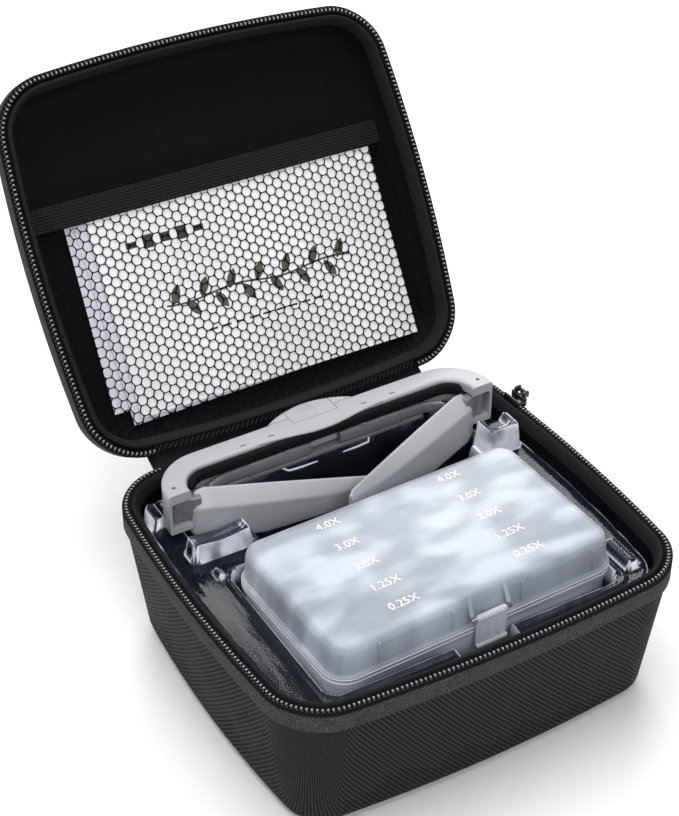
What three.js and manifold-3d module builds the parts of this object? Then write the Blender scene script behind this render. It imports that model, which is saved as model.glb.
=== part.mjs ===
// Head-worn magnifying loupes in their zip-up carry case: a hinged shell case with a clear
// vacuum-formed tray, the loupe headset with folding temples, and a hinged box of spare lenses.
// Millimetres. Origin on the surface the case stands on, under the middle of the case base.
// +X runs along the hinge, +Y points to the hinge side, +Z is up. The case lid stands open.
import * as THREE from 'three';
import { mergeVertices } from 'three/addons/utils/BufferGeometryUtils.js';
import Module from 'manifold-3d';

const wasm = await Module();
wasm.setup();

// ---------------------------------------------------------------- driving dimensions
const GAP = 0.3;                       // clearance between touching pieces

const CASE_W = 200;                    // case outline at the zip, between the flat sides
const CASE_D = 179;
const CASE_R = 23.5;                   // corner radius of that outline
const CASE_BULGE = 5.2;                // how far each side bows out in its middle
const BASE_RIM = 74.2;                 // height of the base shell's edge
const LID_RIM = 81.3;                  // height of the lid shell's edge, lid closed
const CASE_TOP = 110;                  // height of the closed case
const SHELL_T = 2.6;                   // moulded shell thickness
const LINING_T = 1.2;
const HINGE_Y = 93.75;                 // fabric hinge line of the lid
const HINGE_Z = 79.9;
const LID_OPEN = 122.5;                // degrees, the lid's open stop
const HINGE_HALF = 68;                 // half length of the fabric hinge, where the zip stops

const TRAY_TOP = 66;                   // top face of the tray
const TRAY_T = 1;                      // sheet thickness
const HEADSET_FLOOR = 41;
const BOX_FLOOR = 49.3;

const HEADSET_X = 1.2;                 // middle of the line through the temple hinges
const HEADSET_Y = 57.5;
const HEADSET_YAW = 1;                 // degrees, how the headset lies in its tray
const BAND_TOP = 91;
const BAND_BOTTOM = 78;
const BAND_END_BOTTOM = 69;            // the band is taller at its hinge ends
const BAND_R_OUT = 24;                 // plan radii of the band's bends
const BAND_R_IN = 12.5;
const BAND_BEND_X = 64.5;              // centre of each bend
const BAND_BEND_Y = -3.8;
const PIN_X = 83.2;                    // temple hinge pins, either side of the middle
const SLOT_LOW = 72;                   // clevis slot in each band end
const SLOT_HIGH = 86;

const TEMPLE_L = 102;
const TEMPLE_TOP = 9;                  // top edge above the middle of its hinge
const TEMPLE_DROP = 5.2;               // degrees, temples lean down from the band
const HINGE_TILT = 3.4;                // degrees, both hinge pins lean the same way
const FOLD_LEFT = 78;                  // degrees from worn to folded
const FOLD_RIGHT = 69;

const LENS_W = 104;
const LENS_H = 30;
const LENS_T = 2.4;

const BOX_X = -0.5;                    // lens box, middle of its plan
const BOX_Y = -29;
const BOX_YAW = 1.8;
const BOX_W = 146;
const BOX_D = 84;
const BOX_R = 10;
const BOX_LOW = 50;
const BOX_SPLIT = 70.3;                // parting line and hinge height
const BOX_TOP = 88;
const LENS_ROWS = 5;
const LENS_PITCH = 15.5;

const deg = Math.PI / 180;

// ---------------------------------------------------------------- materials
function material(color, roughness, metalness = 0) {
  return new THREE.MeshStandardMaterial({ color, roughness, metalness });
}
const NYLON = () => material(0x1b1b1d, 0.85);
const LINING = () => material(0x101011, 0.95);
const BINDING = () => material(0x161618, 0.9);
const TEETH = () => material(0x2a2a2c, 0.45);
const PAPER = () => material(0xf2f2f4, 0.4);
const NET = () => material(0x151517, 0.8);
const STEEL = () => material(0xb8b9bc, 0.3, 1);
const CLEAR = () => material(0xdfe6ee, 0.08);
const FROSTED = () => material(0xd6dfea, 0.45);
const GREY = () => material(0xc3c6cb, 0.45);
const MID_GREY = () => material(0x8b8d90, 0.5);
const FOAM = () => material(0x121213, 0.95);
const LED = () => material(0xf6f3d8, 0.2);
const BOARD = () => material(0x1d5b34, 0.5);
const CELL = () => material(0x3b6ea8, 0.5);

// ---------------------------------------------------------------- outlines and shells
const CORNER_STEPS = 6;
const SIDE_STEPS = 6;

// A rounded rectangle seen from above, counter-clockwise, whose sides bow out by bulge.
function outline(width, depth, radius, bulge = 0) {
  const hx = width / 2;
  const hy = depth / 2;
  const points = [];
  const corners = [[1, -1, -90], [1, 1, 0], [-1, 1, 90], [-1, -1, 180]];
  corners.forEach(([sx, sy, start], index) => {
    const cx = sx * (hx - radius);
    const cy = sy * (hy - radius);
    for (let i = 0; i <= CORNER_STEPS; i++) {
      const a = (start + 90 * i / CORNER_STEPS) * deg;
      points.push([cx + radius * Math.cos(a), cy + radius * Math.sin(a)]);
    }
    const [nx, ny] = corners[(index + 1) % 4];
    const from = points[points.length - 1];
    const endAngle = (start + 90) * deg;
    const to = [nx * (hx - radius) + radius * Math.cos(endAngle),
      ny * (hy - radius) + radius * Math.sin(endAngle)];
    for (let i = 1; i < SIDE_STEPS; i++) {
      const t = i / SIDE_STEPS;
      points.push([from[0] + (to[0] - from[0]) * t, from[1] + (to[1] - from[1]) * t]);
    }
  });
  return points.map(([x, y]) => [
    x + bulge * (1 - (y / hy) ** 2) * (x / hx),
    y + bulge * (1 - (x / hx) ** 2) * (y / hy)]);
}

const caseOutline = (inset) => outline(
  CASE_W - 2 * inset, CASE_D - 2 * inset, Math.max(CASE_R - inset, 2), CASE_BULGE);
const boxOutline = (inset) => outline(
  BOX_W - 2 * inset, BOX_D - 2 * inset, Math.max(BOX_R - inset, 2));

// Geometry from plain vertices and triangles.
function geometryOf(vertices, triangles) {
  const geometry = new THREE.BufferGeometry();
  geometry.setAttribute('position', new THREE.Float32BufferAttribute(vertices.flat(), 3));
  geometry.setIndex(triangles.flat());
  return geometry;
}

// Rings of [inset, z] joined in order. Capped at both ends, or closed on itself as a band.
function rings(profile, outlineAt, band = false) {
  const loops = profile.map(([inset, z]) => outlineAt(inset).map(([x, y]) => [x, y, z]));
  const n = loops[0].length;
  const vertices = loops.flat();
  const triangles = [];
  const last = band ? loops.length : loops.length - 1;
  for (let j = 0; j < last; j++) {
    const a = j * n;
    const b = ((j + 1) % loops.length) * n;
    for (let i = 0; i < n; i++) {
      const k = (i + 1) % n;
      triangles.push([a + i, a + k, b + k], [a + i, b + k, b + i]);
    }
  }
  if (!band) {
    const top = (loops.length - 1) * n;
    vertices.push([0, 0, profile[0][1]], [0, 0, profile[profile.length - 1][1]]);
    for (let i = 0; i < n; i++) {
      const k = (i + 1) % n;
      triangles.push([vertices.length - 2, k, i], [vertices.length - 1, top + i, top + k]);
    }
  }
  return geometryOf(vertices, triangles);
}

// A loft through polygon sections, each an even list of [x, y, z] that goes out along one side
// and back along the other, so that the caps are strips between the two sides.
function loft(sections) {
  const n = sections[0].length;
  const vertices = sections.flat();
  const triangles = [];
  for (let j = 0; j < sections.length - 1; j++) {
    for (let i = 0; i < n; i++) {
      const k = (i + 1) % n;
      triangles.push([j * n + i, j * n + k, (j + 1) * n + k]);
      triangles.push([j * n + i, (j + 1) * n + k, (j + 1) * n + i]);
    }
  }
  const end = (sections.length - 1) * n;
  for (let i = 0; i < n / 2 - 1; i++) {
    const quad = [i, i + 1, n - 2 - i, n - 1 - i];
    const [a, b, c, d] = quad.map((k) => k + end);
    triangles.push([quad[0], quad[2], quad[1]], [quad[0], quad[3], quad[2]], [a, b, c], [a, c, d]);
  }
  return geometryOf(vertices, triangles);
}

// ---------------------------------------------------------------- solids
function solid(geometry) {
  const bare = geometry.clone();
  bare.deleteAttribute('normal');
  bare.deleteAttribute('uv');
  const merged = mergeVertices(bare, 1e-4);
  return new wasm.Manifold(new wasm.Mesh({
    numProp: 3,
    vertProperties: new Float32Array(merged.attributes.position.array),
    triVerts: new Uint32Array(merged.index.array),
  }));
}

function geometryFrom(manifold) {
  const mesh = manifold.getMesh();
  const geometry = new THREE.BufferGeometry();
  geometry.setAttribute('position', new THREE.BufferAttribute(mesh.vertProperties, 3));
  geometry.setIndex(new THREE.BufferAttribute(mesh.triVerts, 1));
  return geometry;
}

const union = (first, ...others) => others.reduce((sum, item) => sum.add(item), first);

function block(x0, x1, y0, y1, z0, z1) {
  const geometry = new THREE.BoxGeometry(x1 - x0, y1 - y0, z1 - z0);
  return solid(geometry.translate((x0 + x1) / 2, (y0 + y1) / 2, (z0 + z1) / 2));
}

// A cylinder standing on z0, or lying along X from z0 to z1 when along is 'x', or along Y.
function rod(radius, z0, z1, x, y, along = 'z', segments = 16) {
  const geometry = new THREE.CylinderGeometry(radius, radius, z1 - z0, segments);
  if (along === 'z') {
    return solid(geometry.rotateX(Math.PI / 2).translate(x, y, (z0 + z1) / 2));
  }
  if (along === 'x') {
    return solid(geometry.rotateZ(Math.PI / 2).translate((z0 + z1) / 2, x, y));
  }
  return solid(geometry.translate(x, (z0 + z1) / 2, y));
}

function prism(shape, z0, z1, curveSegments = 8) {
  const geometry = new THREE.ExtrudeGeometry(shape, { depth: z1 - z0, bevelEnabled: false, curveSegments });
  return solid(geometry.translate(0, 0, z0));
}

function mesh(name, shape, finish) {
  const geometry = shape.isBufferGeometry ? shape : geometryFrom(shape);
  geometry.computeVertexNormals();
  const item = new THREE.Mesh(geometry, finish);
  item.name = name;
  return item;
}

// ---------------------------------------------------------------- case base
const WALL = 1.2;                      // inset of the shell's outside along the zip
const INNER = WALL + SHELL_T;          // inset of the shell's inside there
const LINED = INNER + GAP + LINING_T;  // inset of the lining's face there
const BOUND = LINED + 2.4;             // inset of the binding's inner edge

// The moulded shell is divided where its floor's radius meets its walls.
const baseFloorProfile = [
  [15, 0], [11, 1.2], [8.6, 4.5], [7.8, 9], [10.4, 9], [11.6, 5.4], [14.6, SHELL_T]];
const baseWallProfile = [
  [10.4, 9], [7.8, 9], [WALL, 64], [WALL, BASE_RIM], [INNER, BASE_RIM], [INNER, 64]];

function baseLiningProfile() {
  const g = INNER + GAP;
  return [[14.8, 2.9], [11.9, 5.6], [10.7, 9.2], [g, 64], [g, 70],
    [g + LINING_T, 70], [g + LINING_T, 64], [11.9, 9.5], [13.2, 6.3], [15.6, 4.1]];
}

const zipGapBox = (z0, z1) => block(-HINGE_HALF - 1.5, HINGE_HALF + 1.5, 60, 120, z0, z1);

// The tape and the coil stop at the fabric hinge.
function zipRun(profile) {
  return solid(rings(profile, caseOutline, true)).subtract(zipGapBox(0, 120));
}

function baseParts() {
  return [
    mesh('base_floor', rings(baseFloorProfile, caseOutline), NYLON()),
    mesh('base_wall', rings(baseWallProfile, caseOutline, true), NYLON()),
    mesh('base_lining', rings(baseLiningProfile(), caseOutline), LINING()),
    mesh('base_binding', rings([
      [INNER + GAP, 70.4], [INNER + GAP, 76.2], [INNER + 1.4, 76.6], [BOUND, 71.4],
      [BOUND, 70.4]], caseOutline, true), BINDING()),
    mesh('base_zip_tape', zipRun([[-0.2, 65], [-0.2, 73.9], [0.9, 73.9], [0.9, 65]]), BINDING()),
    mesh('base_zip_coil', zipRun([[-0.2, 74.6], [-0.2, 76.6], [2, 76.6], [2, 74.6]]), TEETH()),
  ];
}

// The fabric hinge spans from the base's back wall to the lid's, folding round the hinge line.
function hingeGusset() {
  const columns = 12;
  const thickness = 0.8;
  const backY = (x, inset) => {
    const hy = CASE_D / 2 - inset;
    return hy + CASE_BULGE * (1 - (x / (CASE_W / 2 - inset)) ** 2);
  };
  const opened = ([x, y, z]) => {
    const a = -LID_OPEN * deg;
    const dy = y - HINGE_Y;
    const dz = z - HINGE_Z;
    return [x, HINGE_Y + dy * Math.cos(a) - dz * Math.sin(a), HINGE_Z + dy * Math.sin(a) + dz * Math.cos(a)];
  };
  const sections = [];
  for (let i = 0; i <= columns; i++) {
    const x = -HINGE_HALF + 2 * HINGE_HALF * i / columns;
    const near = backY(x, WALL) + GAP;
    const far = near + thickness;
    const inside = [[x, near, 66], [x, near, 76.4], opened([x, near, 82.4]), opened([x, near, 90])];
    const outside = [opened([x, far, 90]), opened([x, far, 83.4]), [x, far, 75.4], [x, far, 66]];
    sections.push([...outside.reverse(), ...inside.reverse()]);
  }
  return mesh('hinge_gusset', loft(sections), NYLON());
}

// ---------------------------------------------------------------- case lid, drawn closed
const lidPanelProfile = [[14.8, 107.4], [10, 106], [6.3, 106], [8.8, 108.5], [14, CASE_TOP]];
const lidWallProfile = [
  [10, 106], [7, 102.9], [5, 98.3], [INNER, 91.3], [INNER, LID_RIM],
  [WALL, LID_RIM], [WALL, 91.5], [2.4, 99], [4.8, 104.5], [6.3, 106]];

function lidLiningProfile() {
  const g = INNER + GAP;
  return [[16.2, 105.9], [11.4, 104.6], [8.6, 102], [6.6, 97.8], [g + LINING_T, 91], [g + LINING_T, 85.5],
    [g, 85.5], [g, 91.2], [5.3, 98.2], [7.3, 102.7], [10.2, 105.7], [15, 107.1]];
}

const NET_Z = 99.4;                    // height of the net pocket in the closed lid
const NET_EDGE_Y = -20.8;              // where the net meets its elastic band

function lidParts() {
  const inside = (z0, z1) => solid(rings([[LINED + 2.6, z0], [LINED + 2.6, z1]], caseOutline));
  return [
    mesh('lid_panel', rings(lidPanelProfile, caseOutline), NYLON()),
    mesh('lid_wall', rings(lidWallProfile, caseOutline, true), NYLON()),
    mesh('lid_lining', rings(lidLiningProfile(), caseOutline), LINING()),
    mesh('lid_binding', rings([
      [BOUND, 85.1], [BOUND, 84], [INNER + 1.4, 78.2], [INNER + GAP, 78.6],
      [INNER + GAP, 85.1]], caseOutline, true), BINDING()),
    mesh('lid_zip_tape', zipRun([[-0.2, 81.6], [-0.2, 90], [0.9, 90], [0.9, 81.6]]), BINDING()),
    mesh('lid_zip_coil', zipRun([[-0.2, 78.2], [-0.2, 80.9], [2, 80.9], [2, 78.2]]), TEETH()),
    mesh('pocket_net', inside(NET_Z, NET_Z + 0.7).intersect(
      block(-120, 120, NET_EDGE_Y + GAP, 120, 0, 120)), NET()),
    mesh('pocket_elastic', inside(NET_Z - 0.5, NET_Z + 0.9).intersect(
      block(-120, 120, NET_EDGE_Y - 12.5, NET_EDGE_Y, 0, 120)), BINDING()),
  ];
}

// A sheet with rounded corners, lying flat in the closed lid.
function sheet(name, x, y, width, height, z, thickness, turn) {
  const shape = new THREE.Shape(outline(width, height, 3).map(([px, py]) => new THREE.Vector2(px, py)));
  const item = mesh(name, prism(shape, 0, thickness), PAPER());
  item.position.set(x, y, z);
  item.rotation.z = turn * deg;
  return item;
}

function papers() {
  return [
    sheet('greeting_card', 10.8, 27.4, 156, 98, 100.6, 1.2, 0.5),
    sheet('leaflet_front', 4, 27.6, 152, 99, 102.2, 0.9, -0.8),
    sheet('leaflet_back', -3, 26, 150, 92, 103.5, 0.9, 1.2),
  ];
}

// ---------------------------------------------------------------- zip slider and pull
const SLIDER_Y = 52;                   // parked at the right-hand end of the zip
const SLIDER_TURN = 3;                 // degrees, along the bowed side
const SLIDER_HALF = 5.5;
const PULL_Z = 80.2;                   // hinge of the pull tab

function zipSlider() {
  const coilIn = -2.2;                 // the coil runs from here to 0 across the slider
  const wing = (x0, x1) => block(x0, x1, -SLIDER_HALF, SLIDER_HALF, 74.8, 79.6);
  const body = union(
    wing(0.6, 2.4), wing(coilIn - 1.5, coilIn - 0.6),
    block(coilIn - 1, 1, -SLIDER_HALF, -SLIDER_HALF + 4, 76.9, 77.9));
  const ear = (y0) => block(1, 4.8, y0, y0 + 1.6, 78.4, 81.6);
  return mesh('zip_slider', union(body, ear(-3.9), ear(2.3)), STEEL());
}

function zipPull() {
  const barrel = rod(1.1, -2, 2, 3.6, PULL_Z, 'y', 12);
  const neck = block(3.1, 4.1, -1.6, 1.6, 71, PULL_Z);
  const tab = block(3.1, 4.1, -3.6, 3.6, 52, 71.5).subtract(block(2, 5, -1.8, 1.8, 55, 60));
  return mesh('zip_pull', union(barrel, neck, tab), STEEL());
}

function zipperGroup() {
  const group = new THREE.Group();
  const edge = CASE_W / 2 + CASE_BULGE * (1 - (SLIDER_Y / (CASE_D / 2)) ** 2) + 0.2;
  group.position.set(edge, SLIDER_Y, 0);
  group.rotation.z = SLIDER_TURN * deg;
  group.add(zipSlider(), zipPull());
  return group;
}

// ---------------------------------------------------------------- tray
const BACK_ZONE_Y = 43;                // the headset pocket is full width behind this line
const POCKET_SIDE = 79;                // half width of the headset's pocket
const POCKET_LEFT = -51;               // ends of its narrower front part
const POCKET_RIGHT = 71;
const POCKET_FRONT = 8;
const BOX_POCKET = [-75.5, 74.5, -74, 19];
const LATCH_NOTCH = [-15, 15, -85, -70];
const LATCH_FLOOR = 56;
const BOSSES = { tray_left_boss: [-86, -54, 30, 42.5, 74], tray_right_boss: [72.5, 93, 29.5, 46, 79] };

// A block over [x0, x1, y0, y1], grown outwards by t.
const over = ([x0, x1, y0, y1], t, z0, z1) => block(x0 - t, x1 + t, y0 - t, y1 + t, z0, z1);
const backZone = [-POCKET_SIDE, POCKET_SIDE, BACK_ZONE_Y, 100];
const frontZone = [POCKET_LEFT, POCKET_RIGHT, POCKET_FRONT, BACK_ZONE_Y + 2];

// The tray's solid form with every face moved in by t. Its difference with t = 0 is the sheet.
function trayForm(t) {
  const low = t > 0 ? -10 : 6.5;
  const clear = BOUND + GAP + t;
  const body = solid(rings([
    [14.6 + t, low], [14.6 + t, 6.5], [12.9 + t, 9.6], [clear, 62], [clear, TRAY_TOP - t]], caseOutline));
  const raised = Object.values(BOSSES).map((at) => over(at, -t, 50, at[4] - t));
  const cut = (at, floor) => over(at, t, floor - t, 120);
  const behind = solid(rings([
    [13 + TRAY_T - t, 0], [11 + TRAY_T - t, 20], [clear + TRAY_T - 2 * t + 0.2, 62],
    [clear + TRAY_T - 2 * t + 0.2, 120]], caseOutline));
  const backPocket = cut(backZone, HEADSET_FLOOR).intersect(behind);
  const pockets = union(backPocket, cut(frontZone, HEADSET_FLOOR), cut(BOX_POCKET, BOX_FLOOR),
    cut(LATCH_NOTCH, LATCH_FLOOR));
  return union(body, ...raised).subtract(pockets);
}

// The sheet in five parts, divided under its top face and round each boss.
function trayParts() {
  const sheet = trayForm(0).subtract(trayForm(TRAY_T));
  const under = TRAY_TOP - TRAY_T;
  const boxZone = union(over(BOX_POCKET, TRAY_T, BOX_FLOOR - TRAY_T, under),
    over(LATCH_NOTCH, TRAY_T + 0.7, LATCH_FLOOR - TRAY_T, under));
  const headsetZone = union(over(backZone, TRAY_T, HEADSET_FLOOR - TRAY_T, under),
    over(frontZone, TRAY_T, HEADSET_FLOOR - TRAY_T, under)).subtract(boxZone);
  const above = block(-120, 120, -120, 120, TRAY_TOP, 120);
  const bosses = Object.entries(BOSSES).map(([name, at]) => mesh(
    name, sheet.intersect(over(at, 1, TRAY_TOP, 120)), CLEAR()));
  return [
    mesh('tray_rim', sheet.subtract(union(boxZone, headsetZone, above)), CLEAR()),
    mesh('tray_headset_pocket', sheet.intersect(headsetZone), CLEAR()),
    mesh('tray_box_pocket', sheet.intersect(boxZone), CLEAR()),
    ...bosses];
}

// ---------------------------------------------------------------- headset
// Drawn round the middle of its hinge line: +Y is the front, away from the wearer's face.
function bandShape(rOut, rIn, legEnd) {
  const cx = BAND_BEND_X;
  const cy = BAND_BEND_Y;
  const shape = new THREE.Shape();
  shape.moveTo(cx + rOut, legEnd);
  shape.lineTo(cx + rOut, cy);
  shape.absarc(cx, cy, rOut, 0, Math.PI / 2, false);
  shape.lineTo(-cx, cy + rOut);
  shape.absarc(-cx, cy, rOut, Math.PI / 2, Math.PI, false);
  shape.lineTo(-cx - rOut, legEnd);
  shape.lineTo(-cx - rIn, legEnd);
  shape.lineTo(-cx - rIn, cy);
  shape.absarc(-cx, cy, rIn, Math.PI, Math.PI / 2, true);
  shape.lineTo(cx, cy + rIn);
  shape.absarc(cx, cy, rIn, Math.PI / 2, 0, true);
  shape.lineTo(cx + rIn, legEnd);
  return shape;
}

const BAND_FRONT = BAND_BEND_Y + BAND_R_OUT;
const BAND_BACK = BAND_BEND_Y + BAND_R_IN;
const BUTTON_Y = 20.5;                 // middle of the ribbed light button

function buttonShape(grow) {
  const shape = new THREE.Shape();
  const half = 9;
  const r = 3.6 + grow;
  shape.absarc(half, 0, r, -Math.PI / 2, Math.PI / 2, false);
  shape.absarc(-half, 0, r, Math.PI / 2, 1.5 * Math.PI, false);
  return shape;
}
const buttonCut = () => prism(buttonShape(0.4), 88.6, 95).translate([0, BUTTON_Y, 0]);

function headsetBand() {
  const tall = prism(bandShape(BAND_R_OUT, BAND_R_IN, -5.4), BAND_END_BOTTOM, BAND_TOP, 9);
  const under = block(-70, 70, -40, 40, 0, BAND_BOTTOM);
  const slot = (side) => block(side * 80.5 - 6.6, side * 80.5 + 6.6, -20, 6, SLOT_LOW, SLOT_HIGH);
  const bore = (side) => solid(new THREE.CylinderGeometry(1.8, 1.8, 60, 16).rotateX(Math.PI / 2))
    .rotate([0, HINGE_TILT, 0]).translate([side * PIN_X, 0, (SLOT_LOW + SLOT_HIGH) / 2]);
  let band = tall.subtract(under);
  for (const side of [-1, 1]) {
    band = band.subtract(slot(side)).subtract(bore(side));
  }
  return band.subtract(buttonCut());
}

function lightHousing() {
  const front = BAND_FRONT + GAP;
  const bulge = (grow, y0) => {
    const shape = new THREE.Shape();
    shape.moveTo(-23 + grow, y0);
    shape.lineTo(23 - grow, y0);
    shape.quadraticCurveTo(16 - grow, front + 7.6 - grow, 0, front + 7.8 - grow);
    shape.quadraticCurveTo(-16 + grow, front + 7.6 - grow, -23 + grow, y0);
    return shape;
  };
  const outer = prism(bulge(0, front), 76.8, BAND_TOP, 8);
  const hollow = prism(bulge(1.2, front + 1), 70, 87, 8);
  return outer.subtract(hollow).subtract(buttonCut());
}

function headsetParts() {
  const tilted = (side, radius, length) => solid(
    new THREE.CylinderGeometry(radius, radius, length, 16).rotateX(Math.PI / 2))
    .rotate([0, HINGE_TILT, 0]).translate([side * PIN_X, 0, (SLOT_LOW + SLOT_HIGH) / 2]);
  const housingY = BAND_FRONT + GAP;
  const pad = prism(bandShape(BAND_R_IN - GAP, BAND_R_IN - 3.5, BAND_BEND_Y), 84.8, 90.4, 9)
    .subtract(block(-100, 100, -50, 3.6, 0, 120));
  const led = (x) => union(rod(1.1, 75.4, 78.4, x, housingY + 3), rod(1.4, 77.6, 79.4, x, housingY + 3));
  return [
    mesh('headset_band', headsetBand(), GREY()),
    mesh('light_housing', lightHousing(), GREY()),
    mesh('brow_pad', pad, FOAM()),
    mesh('lens_carrier', lensCarrier(), MID_GREY()),
    mesh('hinge_pin_left', tilted(-1, 1.4, 21), STEEL()),
    mesh('hinge_pin_right', tilted(1, 1.4, 21), STEEL()),
    mesh('led_board', block(-10, 10, housingY + 1.4, housingY + 4.4, 79.8, 80.8), BOARD()),
    mesh('led_left', led(-6), LED()),
    mesh('led_right', led(6), LED()),
    mesh('battery_cell', block(-11, 11, housingY + 1.4, housingY + 4.2, 81.2, 86.4), CELL()),
  ];
}

// Rails behind the brow pad, on a plate under the band whose lip the lens stands against.
function lensCarrier() {
  const plate = block(-56, 56, 4.6, 16, 75.2, 77.6);
  const rail = (x0, x1) => block(x0, x1, 4.6, 8.2, 77, 84.4);
  const lip = block(-50, 50, 9.8, 11.6, 71.5, 75.6);
  const notch = block(-6, 8, 3, 12.5, 70, 79);
  return union(plate, rail(-60, -7), rail(9, 62), lip).subtract(notch);
}

function lightButton() {
  const base = prism(buttonShape(0), 89.7, 91.3);
  const ribs = [-2, -1, 0, 1, 2].map((i) => block(i * 3.2 - 0.6, i * 3.2 + 0.6, -2.6, 2.6, 91, 91.9));
  return mesh('light_button', union(base, ...ribs).translate([0, BUTTON_Y, 0]), MID_GREY());
}

// A lens plate in the XZ plane with rounded corners and a nose notch, its top edge at z = 0.
function lensPlate() {
  const shape = new THREE.Shape();
  const w = LENS_W / 2;
  const r = 8;
  shape.moveTo(-w, -r);
  shape.absarc(-w + r, -LENS_H + r, r, Math.PI, 1.5 * Math.PI, false);
  shape.lineTo(-14, -LENS_H);
  shape.quadraticCurveTo(-9, -LENS_H + 13, 0, -LENS_H + 13);
  shape.quadraticCurveTo(9, -LENS_H + 13, 14, -LENS_H);
  shape.absarc(w - r, -LENS_H + r, r, 1.5 * Math.PI, 2 * Math.PI, false);
  shape.absarc(w - 3, -3, 3, 0, Math.PI / 2, false);
  shape.absarc(-w + 3, -3, 3, Math.PI / 2, Math.PI, false);
  return prism(shape, -LENS_T / 2, LENS_T / 2, 5).rotate([90, 0, 0]);
}

function fittedLens() {
  return mesh('fitted_lens', lensPlate().translate([0, 13.3, 74.7]), CLEAR());
}

// A temple drawn as worn: hinge at the origin, running back along -Y, outer face on +X.
function templeSolid() {
  const section = (s, outer, inner, top, low) => {
    const facet = Math.min(7, (top - low) * 0.35);
    return [
      [inner, -s, low], [outer - 1.6, -s, low], [outer, -s, low + facet * 0.6],
      [outer, -s, top - facet], [inner + 1.6, -s, top], [inner, -s, top - 1]];
  };
  const plate = solid(loft([
    section(9.4, 4, -3.8, TEMPLE_TOP - 1, -14),
    section(14, 4.5, -4.2, TEMPLE_TOP, -17),
    section(45, 4, -3.6, TEMPLE_TOP, -17),
    section(80, 2.4, -2.4, TEMPLE_TOP, -9),
    section(TEMPLE_L - 3, 1.6, -1.6, TEMPLE_TOP, -2.6),
    section(TEMPLE_L, 1.2, -1.2, TEMPLE_TOP - 2, 0)]));
  const leaned = plate.rotate([TEMPLE_DROP, 0, 0]);
  const half = (SLOT_HIGH - SLOT_LOW) / 2 - 0.6;
  const knuckle = rod(3.5, -half, half, 0, 0);
  const neck = block(-2.4, 2.4, -12, -2, -half, half - 0.6);
  return union(leaned, knuckle, neck);
}

// The temple's own bore follows the leaning hinge pin.
function temple(name, side, fold) {
  const worn = side > 0 ? templeSolid() : templeSolid().mirror([1, 0, 0]);
  const bore = solid(new THREE.CylinderGeometry(1.8, 1.8, 60, 16).rotateX(Math.PI / 2))
    .rotate([0, HINGE_TILT, 0]);
  const item = mesh(name, worn.subtract(bore), GREY());
  const axis = new THREE.Vector3(Math.sin(HINGE_TILT * deg), 0, Math.cos(HINGE_TILT * deg));
  item.quaternion.setFromAxisAngle(axis, -side * fold * deg);
  item.position.set(side * PIN_X, 0, (SLOT_LOW + SLOT_HIGH) / 2);
  return item;
}

function headsetGroup() {
  const group = new THREE.Group();
  group.position.set(HEADSET_X, HEADSET_Y, 0);
  group.rotation.z = HEADSET_YAW * deg;
  group.add(...headsetParts(), lightButton(), fittedLens());
  group.add(temple('temple_left', -1, FOLD_LEFT), temple('temple_right', 1, FOLD_RIGHT));
  return group;
}

// ---------------------------------------------------------------- lens box
const RIM = -1.2;                      // the box's rim stands proud of its walls
const BOX_HINGE_Y = BOX_D / 2 + 3.5;
const LATCH_Y = -BOX_D / 2 - 3;
const LATCH_Z = 77.5;
const LATCH_LOW = 62.5;
const LATCH_X = 3;                      // middle of the latch
const LATCH_HALF = 8;
const EAR_AT = LATCH_HALF + 0.3;        // ears on the lid hold the latch's pin
const EAR_T = 2.4;
const PIN_HALF = EAR_AT + EAR_T - 0.3;

function lensBoxBase() {
  const cup = solid(rings([
    [3, BOX_LOW], [0.8, 51.2], [0.4, 66.4], [RIM, 67.2], [RIM, BOX_SPLIT - 0.15],
    [1.9, BOX_SPLIT - 0.15], [2.4, 52]], boxOutline));
  const knuckle = (x0) => union(
    rod(1.9, x0, x0 + 6, BOX_HINGE_Y, BOX_SPLIT, 'x', 12),
    block(x0, x0 + 6, BOX_D / 2 - 0.6, BOX_HINGE_Y, 68.2, 69.9));
  const bore = rod(1.1, -60, 60, BOX_HINGE_Y, BOX_SPLIT, 'x', 12);
  return union(cup, knuckle(-46), knuckle(40)).subtract(bore);
}

function lensBoxLid() {
  const cap = solid(rings([
    [3.4, 86], [2.2, 84.4], [1.8, BOX_SPLIT + 0.15], [RIM, BOX_SPLIT + 0.15], [RIM, 73], [0.2, 73.8],
    [0.9, 84.4], [2.6, 87.2], [5, BOX_TOP]], boxOutline));
  const knuckle = (x0) => union(
    rod(1.9, x0, x0 + 6, BOX_HINGE_Y, BOX_SPLIT, 'x', 12),
    block(x0, x0 + 6, BOX_D / 2 - 0.6, BOX_HINGE_Y, 70.7, 72.2));
  const bore = rod(1.1, -60, 60, BOX_HINGE_Y, BOX_SPLIT, 'x', 12);
  const ear = (x0) => union(
    block(x0, x0 + EAR_T, LATCH_Y, -BOX_D / 2 + 1.4, 76, 79),
    rod(1.6, x0, x0 + EAR_T, LATCH_Y, LATCH_Z, 'x', 12));
  const latchBore = rod(1.1, -30, 30, LATCH_Y, LATCH_Z, 'x', 12);
  return union(cap, knuckle(-39.6), knuckle(33.6), ear(LATCH_X - EAR_AT - EAR_T),
    ear(LATCH_X + EAR_AT)).subtract(bore).subtract(latchBore);
}

function lensBoxLatch() {
  const [x0, x1] = [LATCH_X - LATCH_HALF, LATCH_X + LATCH_HALF];
  const barrel = rod(1.8, x0, x1, LATCH_Y, LATCH_Z, 'x', 12);
  const plate = block(x0, x1, LATCH_Y - 0.9, LATCH_Y + 0.8, LATCH_LOW, LATCH_Z);
  const grip = block(x0, x1, LATCH_Y - 2.4, LATCH_Y, LATCH_LOW, LATCH_LOW + 1.6);
  const bore = rod(1.1, -30, 30, LATCH_Y, LATCH_Z, 'x', 12);
  return union(barrel, plate, grip).subtract(bore);
}

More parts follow.
